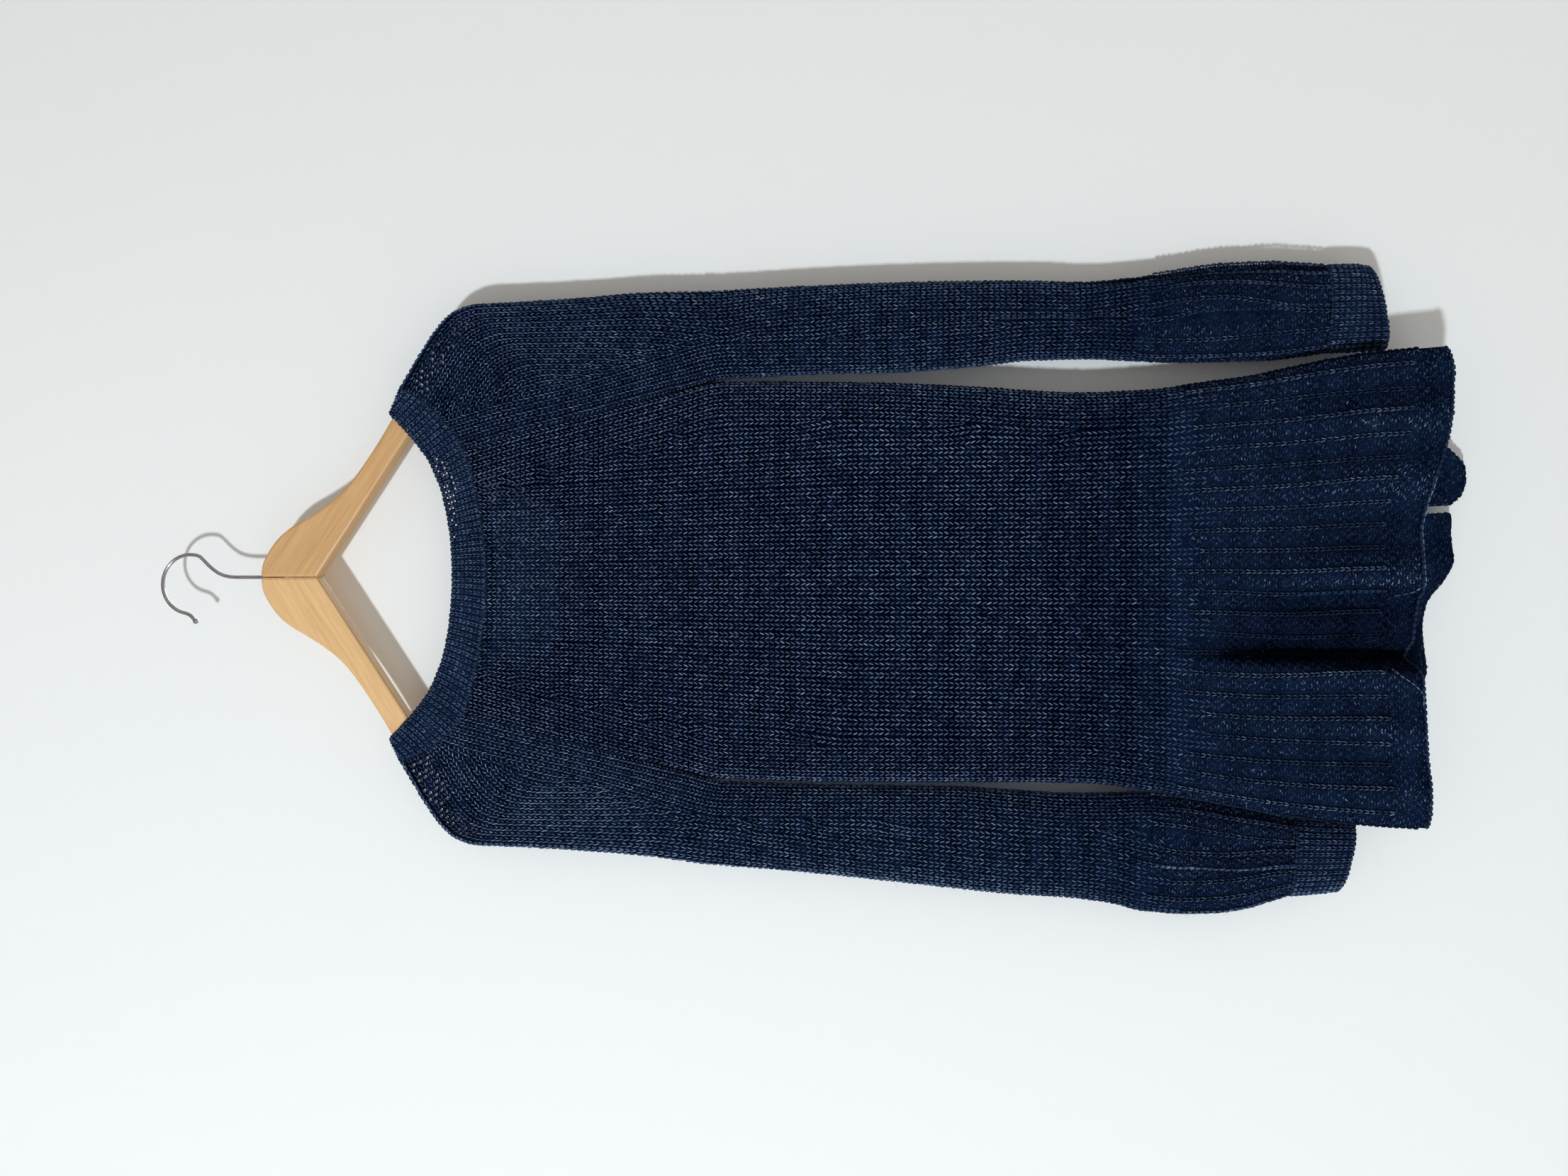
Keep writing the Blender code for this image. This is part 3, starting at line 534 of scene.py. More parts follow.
# ---------------------------------------------------------------- neckband
def seam_point(side, part, along):
    """A point of the neck seam, on the garment's own pieces."""
    sign = -1 if side == "left" else 1
    if part == "back":
        left, right = edge_x("left", NECK_TOP), edge_x("right", NECK_TOP)
        share = along if side == "left" else 1 - along
        x = left + (right - left) * share
        z = float(back_neck_z(x))
        return np.array([x, float(layer_y("near", x, z)), z])
    if part == "front":
        neck = front_neck_left if side == "left" else front_neck_right
        start = opening_left(V_POINT) if side == "left" else opening_right(V_POINT)
        x = start + (edge_x(side, NECK_FRONT_TOP) - start) * along
        z = float(neck(x))
        return np.array([x, float(layer_y("far", x, z)), z])
    row = sleeve_rows(side)[0]
    face = 0 if part == "cap_near" else 1
    start, end = np.array(row.near if face == 0 else row.far), np.array(row.out)
    length = float(np.linalg.norm(end - start))
    normal = np.array([end[1] - start[1], start[0] - end[0]]) / length
    if normal[1] > 0:
        normal = -normal
    base = start + along * (end - start) + row.bow * math.sin(math.pi * along) * normal
    depth = row.depth_near if face == 0 else row.depth_far
    y = depth * float(bend(length * (1 - along), row.reach))
    return np.array([base[0], -y if face == 0 else y, base[1]])


# ---------------------------------------------------------------- hanger
def smooth_line(points, per_span=3):
    """More points along a polyline, on a rounded course through its own."""
    points = [np.array(p, float) for p in points]
    ends = [2 * points[0] - points[1], *points, 2 * points[-1] - points[-2]]
    line = []
    for a, b, c, d in zip(ends, ends[1:], ends[2:], ends[3:]):
        for i in range(per_span):
            t = i / per_span
            line.append(
                0.5
                * (
                    2 * b
                    + (c - a) * t
                    + (2 * a - 5 * b + 4 * c - d) * t * t
                    + (3 * b - a - 3 * c + d) * t**3
                )
            )
    line.append(points[-1])
    return line

# ---------------------------------------------------------------- fine forms
def through(keys, values, at):
    """Columns of numbers as smooth curves without overshoot."""
    at = np.clip(np.asarray(at, float), keys[0], keys[-1])
    step = np.diff(keys)
    rise = np.diff(values, axis=0) / step[:, None]
    slope = np.zeros_like(values)
    slope[0], slope[-1] = rise[0], rise[-1]
    for i in range(1, len(keys) - 1):
        a, b = 2 * step[i] + step[i - 1], step[i] + 2 * step[i - 1]
        same = rise[i - 1] * rise[i] > 0
        with np.errstate(divide="ignore", invalid="ignore"):
            mean = (a + b) / (a / rise[i - 1] + b / rise[i])
        slope[i] = np.where(same, mean, 0.0)
    i = np.clip(np.searchsorted(keys, at) - 1, 0, len(step) - 1)
    t = ((at - keys[i]) / step[i])[:, None]
    h = step[i][:, None]
    return (
        values[i] * (1 + 2 * t) * (1 - t) ** 2
        + slope[i] * h * t * (1 - t) ** 2
        + values[i + 1] * t * t * (3 - 2 * t)
        + slope[i + 1] * h * t * t * (t - 1)
    )


def unit(v):
    return v / np.maximum(np.linalg.norm(v, axis=-1, keepdims=True), 1e-9)


def arc(P):
    """Distance across, along each row of a grid of points."""
    step = np.linalg.norm(np.diff(P, axis=1), axis=2)
    return np.concatenate([np.zeros((len(P), 1)), np.cumsum(step, axis=1)], axis=1)


def rows_at(P, S, s):
    """Points at given distances across each row."""
    out = np.empty(s.shape + (3,))
    for k in range(len(P)):
        for d in range(3):
            out[k, :, d] = np.interp(s[k], S[k], P[k, :, d])
    return out


def course_rows(first, last, course):
    count = int(round((first - last) / course))
    return first - (np.arange(count) + 0.5) * (first - last) / count


def hem_pull(c, low=-1020.0):
    """How far a course has turned from level to the line of the hem."""
    return ease((-800.0 - c) / (-800.0 - low))


def hem_lift(face, x, z):
    """The back's hem rises a little where the cloth comes forward."""
    if face != "near":
        return 0.0
    rise = -0.34 * np.clip(folds(BACK_FOLDS, x, z), -7.0, 7.0)
    bay = ease((x + 68.0) / 10.0) * ease((-2.0 - x) / 34.0)
    return (rise + 5.0 * bay) * ease((-900.0 - z) / 110.0)


def panel_at(face, left_of, right_of, hem, c, share):
    """Points of a panel for canonical heights c and shares across."""
    c, share = c[:, None], share[None, :]
    x = np.zeros(np.broadcast(c, share).shape)
    z = c + 0 * x
    for _ in range(8):
        left, right = left_of(z), right_of(z)
        x = left + (right - left) * share
        z = c + (read(hem, "z", "x", x) + 1020.0) * hem_pull(c) + hem_lift(face, x, z)
    return np.stack([x, layer_y(face, x, z), z], axis=2)


def panel_shell(face, left_of, right_of, top_of, hem, rows, columns, top_guess):
    """Points of a whole panel from its top edge to its hem."""
    share = np.linspace(0, 1, columns)[None, :]
    down = np.linspace(0, 1, rows)[:, None]
    z = np.full((rows, columns), -600.0)
    for _ in range(14):
        left, right = left_of(z), right_of(z)
        x = left + (right - left) * share
        top, bottom = top_of(x), read(hem, "z", "x", x)
        z = top + (bottom - top) * down + hem_lift(face, x, z)
    return np.stack([x, layer_y(face, x, z), z], axis=2)


def row_numbers(rows):
    return np.array(
        [
            [*r.near, *r.far, *r.out, r.depth_near, r.depth_far, r.mid, r.reach,
             *r.flat, r.bow, r.inner]
            for r in rows
        ]
    )  # fmt: skip


def row_of(n):
    return Row(
        (n[0], n[1]), (n[2], n[3]), (n[4], n[5]), n[6], n[7], n[8], n[9],
        (n[10], n[11]), n[12], n[13],
    )  # fmt: skip


def ring_of(row, creases, half_count):
    """A fine section of a sleeve, near inner edge round to far inner edge."""
    parts, places = [], []
    for face in (0, 1):
        start = np.array(row.near if face == 0 else row.far)
        end = np.array(row.out)
        length = float(np.linalg.norm(end - start))
        reach, inner = min(row.reach, 0.46 * length), min(row.inner, 0.46 * length)
        turn = [1 - math.cos(math.pi / 2 * i / 3) for i in range(4)]
        inward = [inner * t for t in turn]
        outward = [length - reach * t for t in turn[::-1]]
        middle = [inward[-1] + (outward[0] - inward[-1]) * i / 3 for i in (1, 2)]
        known = np.array(inward + middle + outward)
        u = np.linspace(0, 1, half_count)
        u = 0.5 - 0.5 * np.cos(math.pi * u) * 0.55 + (u - 0.5) * 0.45
        u = (u - u[0]) / (u[-1] - u[0])
        along = length * u
        place = np.interp(along, known, np.linspace(0, 0.5, 10))
        side = np.array([end[1] - start[1], start[0] - end[0]]) / length
        if side[1] > 0:
            side = -side
        share = along / length
        flat = row.flat[face]
        full = (flat + (1 - flat) * bend(along, inner)) * bend(length - along, reach)
        depth = row.depth_near if face == 0 else row.depth_far
        base = start + np.outer(share, end - start)
        base = base + np.outer(row.bow * np.sin(math.pi * share), side)
        y = row.mid + (-depth if face == 0 else depth) * full
        parts.append(np.column_stack([base[:, 0], y, base[:, 1]]))
        places.append(place if face == 0 else 1 - place)
    points = np.vstack([parts[0], parts[1][::-1][1:]])
    place = np.concatenate([places[0], places[1][::-1][1:]])
    middle = np.array([(row.near[0] + row.out[0]) / 2, row.mid, row.near[1]])
    points = pinch(points, place, creases, middle)
    gap = 2 * SEAM * (1 - max(row.flat))
    points[0, 1] -= gap
    points[-1, 1] += gap
    return points


def sleeve_grid(side, rows, creases, course, half_count, extend=0.0):
    """Rings of a sleeve at every course, from its top to its end."""
    numbers = row_numbers(rows)
    ways = [numbers[:, 0:2], numbers[:, 4:6]]
    steps = sum(np.linalg.norm(np.diff(w, axis=0), axis=1) for w in ways) / 2
    keys = np.concatenate([[0.0], np.cumsum(steps)])
    count = max(int(round(keys[-1] / course)), 2)
    at = (np.arange(count) + 0.5) * keys[-1] / count if extend == 0 else np.linspace(
        0, keys[-1], count
    )
    rings = [ring_of(row_of(n), creases, half_count) for n in through(keys, numbers, at)]
    grid = np.array(rings)
    return grid[:, ::-1] if side == "left" else grid


# ---------------------------------------------------------------- stitches
LEAF = np.radians([-30.0, 90.0, 210.0])
ROUND = np.radians([-54.0, 18.0, 90.0, 162.0, 234.0])
CHANCE = np.random.default_rng(41)


class Stitches:
    """Many small closed lumps that become one joined mesh."""

    def __init__(self, name):
        self.name, self.groups = name, []

    def add(self, centre, side, up, tone, angles=LEAF):
        if len(centre):
            self.groups.append((centre, side, up, tone, angles))

    def triangles(self):
        return sum(
            len(c) * (2 * len(a) + 2 * len(a) * (c.shape[1] - 3))
            for c, _, _, _, a in self.groups
        )

    def build(self, material, slot):
        total = sum(len(g[0]) for g in self.groups)
        cells = max(int(math.ceil(math.sqrt(total))), 1)
        verts, tris, places, tones = [], [], [], []
        base, lump = 0, 0
        for centre, side, up, tone, angles in self.groups:
            n, stations, round_it = len(centre), centre.shape[1], len(angles)
            cos, sin = np.cos(angles)[:, None], np.sin(angles)[:, None]
            ring = (
                centre[:, 1:-1, None]
                + side[:, 1:-1, None] * cos
                + up[:, 1:-1, None] * sin
            ).reshape(n, -1, 3)
            verts.append(np.concatenate([centre[:, :1], ring, centre[:, -1:]], 1))
            count = (stations - 2) * round_it + 2
            faces = [(0, 1 + (j + 1) % round_it, 1 + j) for j in range(round_it)]
            for i in range(stations - 3):
                a = 1 + i * round_it
                for j in range(round_it):
                    k = (j + 1) % round_it
                    faces += [
                        (a + j, a + k, a + round_it + k),
                        (a + j, a + round_it + k, a + round_it + j),
                    ]
            a = 1 + (stations - 3) * round_it
            faces += [(count - 1, a + j, a + (j + 1) % round_it) for j in range(round_it)]
            faces = np.array(faces)
            offset = base + np.arange(n)[:, None, None] * count
            tris.append((faces[None] + offset).reshape(-1, 3))
            # A small cell of its own for each lump.
            index = lump + np.arange(n)
            cell = np.stack([index % cells, index // cells], 1)[:, None].astype(float)
            u = [0.06]
            v = [0.5]
            # Painted light in the tone: each lump's ridge at full tone and its sides at 0.22 is a painted
            # highlight, its tucked-in ends darker a painted shade.
            tip = 0.12 if stations > 3 else 0.5
            t = [tip]
            for i in range(1, stations - 1):
                for angle in angles:
                    u.append(0.06 + 0.88 * i / (stations - 1))
                    v.append(0.5 - 0.4 * math.cos(angle))
                    t.append(0.22 + 0.78 * max(math.sin(angle), 0.0))
            u.append(0.94), v.append(0.5), t.append(tip)
            places.append((cell + np.stack([u, v], 1)[None]) / cells)
            tones.append(np.asarray(tone)[:, None] * np.array(t)[None])
            base += n * count
            lump += n
        verts = np.concatenate([v.reshape(-1, 3) for v in verts]) * MM
        tris = np.concatenate(tris)
        places = np.concatenate([p.reshape(-1, 2) for p in places])
        tones = np.concatenate([t.reshape(-1) for t in tones])
        mesh = bpy.data.meshes.new(self.name)
        mesh.vertices.add(len(verts))
        mesh.vertices.foreach_set("co", verts.astype(np.float32).ravel())
        mesh.loops.add(tris.size)
        mesh.loops.foreach_set("vertex_index", tris.astype(np.int32).ravel())
        mesh.polygons.add(len(tris))
        mesh.polygons.foreach_set("loop_start", np.arange(0, tris.size, 3, dtype=np.int32))
        mesh.update(calc_edges=True)
        layer = mesh.uv_layers.new(name="OFBake")
        layer.data.foreach_set("uv", places[tris.ravel()].astype(np.float32).ravel())
        kept = mesh.attributes.new("tone", "FLOAT", "POINT")
        kept.data.foreach_set("value", tones.astype(np.float32))
        mesh.materials.append(material)
        mesh.shade_smooth()
        obj = bpy.data.objects.new(self.name, mesh)
        bpy.context.scene.collection.objects.link(obj)
        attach(obj, "root")
        COUNTS[self.name] = len(tris)
        return obj


COUNTS = {}


def frames(P, S, s):
    """Points, across and up vectors and normals at places on a grid."""
    Q = rows_at(P, S, s)
    A = unit(rows_at(P, S, s + 1.2) - rows_at(P, S, s - 1.2))
    U = np.empty_like(Q)
    U[1:-1] = (Q[:-2] - Q[2:]) / 2
    U[0], U[-1] = Q[0] - Q[1], Q[-2] - Q[-1]
    return Q, A, U, unit(np.cross(A, U))


def tones(count, middle=0.55, reach=0.2):
    return np.clip(CHANCE.normal(1.0, reach, count) * middle, 0.02, 1.25)


def lay(Q, A, U, N, a, u, h):
    """Stations of lumps: across in pitches, up in courses, out in mm."""
    return (
        Q[:, None]
        + A[:, None] * a[..., None]
        + U[:, None] * u[..., None]
        + N[:, None] * h[..., None]
    )


def plain(piece, Q, A, U, N, wide=0.135, thick=0.85, lift=0.0, tone=0.55, fine=False):
    """Plain stitches: two legs that spread upwards, tips tucked in."""
    n = len(Q)
    if not n:
        return
    pitch = np.linalg.norm(A, axis=1)
    shared = tones(n, tone, 0.09)
    for sign in (-1.0, 1.0):
        t = np.array([0.0, 0.3, 0.7, 1.0])
        a = np.array([0.06, 0.16, 0.31, 0.42]) * sign
        u = np.array([-0.66, -0.26, 0.26, 0.68])
        h = np.array([-0.55, 0.15, 0.35, -0.5]) + lift
        shift = CHANCE.normal(0, 0.022, (n, 1))
        lean = CHANCE.normal(0, 0.028, (n, 1)) * (t - 0.5)[None]
        a = a[None] + shift + lean
        u = u[None] * CHANCE.normal(1.0, 0.05, (n, 1)) + CHANCE.normal(0, 0.05, (n, 1))
        h = h[None] + CHANCE.normal(0, 0.12, (n, 1))
        centre = lay(Q, A, U, N, a, u, h)
        way = unit(centre[:, 2] - centre[:, 1])
        across = unit(np.cross(N, way))
        size = wide * pitch * CHANCE.normal(1.0, 0.10, n)
        side = np.repeat((across * size[:, None])[:, None], 4, axis=1)
        up = np.repeat((N * (thick * CHANCE.normal(1.0, 0.1, n))[:, None])[:, None], 4, 1)
        own = shared + CHANCE.normal(0, 0.08, n)
        piece.add(centre, side, up, np.clip(own, 0.02, 1.3))


def purl(piece, Q, A, U, N, parity, lift=0.0, tone=0.42, wide=0.19, length=0.58):
    """Purl stitches: two rows of small slanting grains to each course."""
    n = len(Q)
    if not n:
        return
    for row, sign in ((-0.25, 1.0), (0.25, -1.0)):
        flip = np.where(parity % 2 == 0, 1.0, -1.0)[:, None] * sign
        a = np.array([-1.0, 0.0, 1.0])[None] * length
        a = a * CHANCE.normal(1.0, 0.12, (n, 1)) + CHANCE.normal(0, 0.07, (n, 1)) + 0.22 * flip
        slope = CHANCE.normal(0.0, 0.34, (n, 1)) + 0.16 * flip
        u = row + CHANCE.normal(0, 0.05, (n, 1)) + slope * a
        h = np.array([-0.5, 0.3, -0.5])[None] + lift + CHANCE.normal(0, 0.12, (n, 1))
        centre = lay(Q, A, U, N, a, u, h)
        way = unit(centre[:, 2] - centre[:, 0])
        across = unit(np.cross(N, way))
        high = wide * np.linalg.norm(U, axis=1) * CHANCE.normal(1.0, 0.12, n)
        side = np.repeat((across * high[:, None])[:, None], 3, axis=1)
        up = np.repeat((N * (0.62 * CHANCE.normal(1.0, 0.12, n))[:, None])[:, None], 3, 1)
        piece.add(centre, side, up, tones(n, tone, 0.36))


def chain(piece, line, normal, pitch=4.6, radius=1.35, tone=0.5, closed=False):
    """A cast-off edge: a chain of plump links along a line."""
    step = np.linalg.norm(np.diff(line, axis=0), axis=1)
    s = np.concatenate([[0.0], np.cumsum(step)])
    count = max(int(round(s[-1] / pitch)), 1)
    at = (np.arange(count) + 0.5) * s[-1] / count
    stations = np.array([-0.62, -0.25, 0.25, 0.62]) * s[-1] / count
    where = at[:, None] + stations[None]
    centre = np.stack([np.interp(where, s, line[:, d]) for d in range(3)], axis=2)
    norm = unit(np.stack([np.interp(at, s, normal[:, d]) for d in range(3)], axis=1))
    way = unit(centre[:, 2] - centre[:, 1])
    side = unit(np.cross(norm, way))
    jitter = CHANCE.normal(0, 0.14, (count, 1, 1))
    centre = centre + side[:, None] * jitter + norm[:, None] * CHANCE.normal(0, 0.1, (count, 1, 1))
    size = radius * CHANCE.normal(1.0, 0.08, count)[:, None, None]
    piece.add(
        centre,
        np.repeat(side[:, None], 4, 1) * size,
        np.repeat(norm[:, None], 4, 1) * size,
        tones(count, tone, 0.12),
        ROUND,
    )


def field_pitch(c):
    return np.interp(
        -c, [277, 320, 400, 497, 600, 740, 840, 1020], [6.3, 6.35, 6.6, 7.0, 7.3, 7.3, 7.45, 8.6]
    )


def edge_pitch(c):
    return np.interp(-c, [277, 500, 800, 1020], [6.15, 6.2, 6.3, 7.6])


RIB_TOP = -858.0
GATHER = -845.0
HEM_BAND = 26.0


def wale_places(L, c, field, field_gap, first_count, last_count, edge_gap, gather, level):
    """Distances across for every wale on every course.

    A few wales run beside each edge, and the wales of the field between them
    end where they meet these.  Below the gather line every wale goes on, and
    they share the width evenly, folds and all.
    Returns the upper wales (places, gaps, shown) and the lower ones (places
    as a function of a running wale number, with their count)."""
    K, M = field.shape
    j = np.arange(first_count)
    first = (j + 0.5)[None] * edge_gap[:, None]
    j = np.arange(last_count)
    last = L[:, None] - (j + 0.5)[None, ::-1] * edge_gap[:, None]
    low = first_count * edge_gap
    high = L - last_count * edge_gap
    upper = (c > gather)[:, None]
    shown = np.zeros(field.shape, bool)
    plain_field = field
    field = field.copy()
    spread_gap = np.repeat(field_gap[:, None], M, 1)
    for k in range(K):
        g = field_gap[k]
        on = np.where((plain_field[k] - 0.5 * g >= low[k]) & (plain_field[k] + 0.5 * g <= high[k]))[0]
        shown[k, on] = True
        if len(on) < 8:
            continue
        # The three outermost wales and the one that is starting share the
        # room there is, and the new one widens little by little.
        for end, way, border in ((on[0], 1, low[k]), (on[-1], -1, high[k])):
            room = way * (plain_field[k, end] - border) - 0.5 * g
            grown = float(ease((room / g - 0.25) / 0.5))
            width = (room + 3 * g) / (3 + grown)
            at = border
            new = end - way
            if grown > 0.3 and 0 <= new < M:
                field[k, new] = at + way * 0.5 * grown * width
                spread_gap[k, new] = grown * width
                shown[k, new] = True
            at += way * grown * width
            for _ in range(3):
                new += way
                field[k, new] = at + way * 0.5 * width
                spread_gap[k, new] = width
                at += way * width
    standing = shown.copy()
    shown &= upper
    places = np.concatenate([first, field, last], axis=1)
    gaps = np.concatenate(
        [
            np.repeat(edge_gap[:, None], first_count, 1),
            spread_gap,
            np.repeat(edge_gap[:, None], last_count, 1),
        ],
        axis=1,
    )
    edge_shown = upper & (L[:, None] > 2 * edge_gap[:, None] * first_count)
    shown = np.concatenate(
        [
            np.repeat(edge_shown, first_count, 1),
            shown,
            np.repeat(edge_shown, last_count, 1),
        ],
        axis=1,
    )
    # The lower wales: those that reach the gather line.
    below = np.where(c <= gather)[0]
    lower = None
    if len(below):
        k0 = max(below[0] - 1, 0)
        kept = np.where(standing[k0])[0]
        moved = plain_field[below][:, kept] + (field[k0] - plain_field[k0])[kept][None]
        run = np.concatenate([first[below], moved, last[below]], axis=1)
        count = run.shape[1]
        part = (np.arange(count) + 0.5) / count
        # Mostly even as seen from outside, a little drawn into the folds.
        even = 0.22 * part[None] * L[below][:, None] + 0.78 * level(below, part)
        share = ease((gather - c[below]) / 150.0)[:, None]
        lower = (below, run + (even - run) * share)
    return places, gaps, shown, lower


def knit(upper, lower_piece, P, c, field, field_gap, counts, edge_gap, gather,
         inside, hem_distance, rib_top, flat_share=1, tone=0.79, odd=1, halo=None,
         stretch=None):
    """Covers a grid of courses with plain stitches above, wide ribs below."""
    S = arc(P)
    L = S[:, -1]
    def level(rows, part):
        """Places that share the row's width evenly, leaving its folds out."""
        span = np.linalg.norm(np.diff(P[rows][:, :, [0, 2]], axis=1), axis=2)
        if flat_share < 1:
            span = np.diff(S[rows], axis=1)
        width = np.concatenate([np.zeros((len(rows), 1)), np.cumsum(span, axis=1)], 1)
        return np.stack(
            [np.interp(part * w[-1], w, s) for w, s in zip(width, S[rows])]
        )

    places, gaps, shown, lower = wale_places(
        L, c, field, field_gap, counts[0], counts[1], edge_gap, gather, level
    )
    drift = np.cumsum(CHANCE.normal(0, 0.03, places.shape), axis=0)
    drift -= drift.mean(axis=0, keepdims=True)
    places = places + np.clip(drift, -0.25, 0.25)
    Q, A, U, N = frames(P, S, places)
    show = shown & inside(Q) & (places > 0.6) & (places < L[:, None] - 0.6)
    k, m = np.where(show)
    # The stitches grow duller down towards the gathered part.
    def fade(Q):
        return 1.0 - 0.22 * ease((-690.0 - Q[..., 2]) / 150.0)

    wide = np.full(len(k), 0.132)
    if stretch is not None:
        wide = wide * (1.0 - 0.55 * stretch(Q[k, m]))
    plain(upper, Q[k, m], A[k, m] * gaps[k, m][:, None], U[k, m], N[k, m], wide=wide,
          tone=tone * fade(Q[k, m]))
    if halo is not None:
        halo.append((Q[k, m], N[k, m], U[k, m]))
    if lower is None:
        return
    below, run = lower
    count = run.shape[1]
    P2, S2 = P[below], S[below]
    wales = np.arange(count)
    ribs = wales[odd::2]
    row_top = rib_top + 12.0 * np.sin(wales * 1.7 + 0.6) + 8.0 * np.sin(wales * 0.61)
    Q, A, U, N = frames(P2, S2, run)
    gap = np.gradient(run, axis=1)
    z = c[below][:, None]
    fits = inside(Q)
    far = hem_distance(c[below])[:, None]
    is_rib = np.zeros(count, bool)
    is_rib[ribs] = True
    above = z > row_top[None]
    # Plain stitches down to where each rib begins.
    k, m = np.where(above & fits)
    plain(lower_piece, Q[k, m], A[k, m] * gap[k, m][:, None], U[k, m], N[k, m],
          tone=tone * 0.78 * painted_fold_shade(Q[k, m]))
    # Ribs.
    k, m = np.where(~above & is_rib[None] & (far > HEM_BAND) & fits)
    narrow = 4.3
    plain(lower_piece, Q[k, m], A[k, m] * narrow, U[k, m], N[k, m], wide=0.16, thick=1.0,
          lift=0.95, tone=tone * 0.86 * painted_fold_shade(Q[k, m]))
    if halo is not None:
        halo.append((Q[k, m], N[k, m], U[k, m]))
    # Purl stitches between the ribs, and all the way across in the hem band.
    # Painted shade on the purl grains: lower tone beside the ribs, full tone mid-field; 0 where the rib
    # stands, with no grain there outside the hem band.
    number, grain_shade = [], []
    first = ribs[0] - 2
    for start in range(first, count + 2, 2):
        for extra, grain_shade_one in ((0.0, 0), (0.44, 0.55), (0.81, 1.0), (1.18, 1.0), (1.55, 0.75)):
            if -0.35 <= start + extra <= count - 0.65:
                number.append(start + extra)
                grain_shade.append(grain_shade_one)
    number, grain_shade = np.array(number), np.array(grain_shade)
    s = np.stack([np.interp(number, wales, r) for r in run])
    s += (number - np.clip(number, 0, count - 1)) * gap[:, :1]
    Q, A, U, N = frames(P2, S2, s)
    near_gap = np.stack([np.interp(number, wales, g) for g in gap]) * 0.38
    top = np.interp(number, wales, row_top) - 2.0
    fits = inside(Q) & (s > 0.8) & (s < S2[:, -1:] - 0.8)
    purl_here = (z <= top[None]) & ((grain_shade > 0)[None] | (far <= HEM_BAND)) & fits
    k, m = np.where(purl_here)
    # Painted shade by place in the purl field; full tone in the hem band.
    light = 0.70 * np.where(far[k, 0] <= HEM_BAND, 1.0, grain_shade[m])
    purl(lower_piece, Q[k, m], A[k, m] * near_gap[k, m][:, None], U[k, m], N[k, m],
         k + m, lift=0.15, tone=tone * light * painted_fold_shade(Q[k, m]))
    if halo is not None:
        halo.append((Q[k, m], N[k, m], U[k, m]))


# ---------------------------------------------------------------- materials
def new_nodes(name):
    material = bpy.data.materials.new(name)
    material.use_nodes = True
    tree = material.node_tree
    shader = tree.nodes["Principled BSDF"]
    return material, tree, shader


def knit_material(name, dark, middle, light, gloss=0.06, sheen=0.03, lines=False, grain=1300.0,
                  speckle=0.55):
    material, tree, shader = new_nodes(name)
    link = tree.links.new
    shader.inputs["Roughness"].default_value = 0.82
    shader.inputs["Specular IOR Level"].default_value = gloss
    shader.inputs["Sheen Weight"].default_value = sheen
    shader.inputs["Sheen Roughness"].default_value = 0.45
    shader.inputs["Sheen Tint"].default_value = (0.55, 0.68, 1.0, 1.0)
    where = tree.nodes.new("ShaderNodeTexCoord")
    tone = tree.nodes.new("ShaderNodeAttribute")
    tone.attribute_name = "tone"
    # Heathered yarn: fine fibres and slow changes from stitch to stitch.
    fibre = tree.nodes.new("ShaderNodeTexNoise")
    fibre.inputs["Scale"].default_value = grain
    fibre.inputs["Detail"].default_value = 3.0
    fibre.inputs["Roughness"].default_value = 0.7
    link(where.outputs["Object"], fibre.inputs["Vector"])
    slow = tree.nodes.new("ShaderNodeTexNoise")
    slow.inputs["Scale"].default_value = 26.0
    slow.inputs["Detail"].default_value = 3.0
    link(where.outputs["Object"], slow.inputs["Vector"])
    a = tree.nodes.new("ShaderNodeMath")
    a.operation = "MULTIPLY_ADD"
    a.inputs[1].default_value = speckle
    a.inputs[2].default_value = -0.5 * speckle
    link(fibre.outputs["Fac"], a.inputs[0])
    b = tree.nodes.new("ShaderNodeMath")
    b.operation = "MULTIPLY_ADD"
    b.inputs[1].default_value = 0.24
    b.inputs[2].default_value = -0.12
    link(slow.outputs["Fac"], b.inputs[0])
    c = tree.nodes.new("ShaderNodeMath")
    c.operation = "ADD"
    link(a.outputs[0], c.inputs[0])
    link(b.outputs[0], c.inputs[1])
    d = tree.nodes.new("ShaderNodeMath")
    d.operation = "MULTIPLY_ADD"
    link(c.outputs[0], d.inputs[0])
    d.inputs[1].default_value = 0.6
    link(tone.outputs["Fac"], d.inputs[2])
    ramp = tree.nodes.new("ShaderNodeValToRGB")
    ramp.color_ramp.elements[0].position = 0.05
    ramp.color_ramp.elements[0].color = (*dark, 1)
    ramp.color_ramp.elements[1].position = 1.0
    ramp.color_ramp.elements[1].color = (*light, 1)
    mid = ramp.color_ramp.elements.new(0.5)
    mid.color = (*middle, 1)
    link(d.outputs[0], ramp.inputs["Fac"])
    link(ramp.outputs["Color"], shader.inputs["Base Color"])
    bump = tree.nodes.new("ShaderNodeBump")
    bump.inputs["Strength"].default_value = 0.5
    bump.inputs["Distance"].default_value = 0.0004
    if lines:
        # The inside of plain knitting: rows of little bumps.
        wave = tree.nodes.new("ShaderNodeTexWave")
        wave.bands_direction = "Z"
        wave.inputs["Scale"].default_value = 1000.0 / 4.15 / 20.0
        wave.inputs["Distortion"].default_value = 2.2
        wave.inputs["Detail"].default_value = 2.0
        wave.inputs["Detail Scale"].default_value = 9.0
        link(where.outputs["Object"], wave.inputs["Vector"])
        bump.inputs["Distance"].default_value = 0.0009
        link(wave.outputs["Fac"], bump.inputs["Height"])
        mix = tree.nodes.new("ShaderNodeMath")
        mix.operation = "MULTIPLY_ADD"
        mix.inputs[1].default_value = 0.18
        link(wave.outputs["Fac"], mix.inputs[0])
        link(c.outputs[0], mix.inputs[2])
        link(mix.outputs[0], d.inputs[0])
    else:
        link(fibre.outputs["Fac"], bump.inputs["Height"])
    link(bump.outputs["Normal"], shader.inputs["Normal"])
    return material


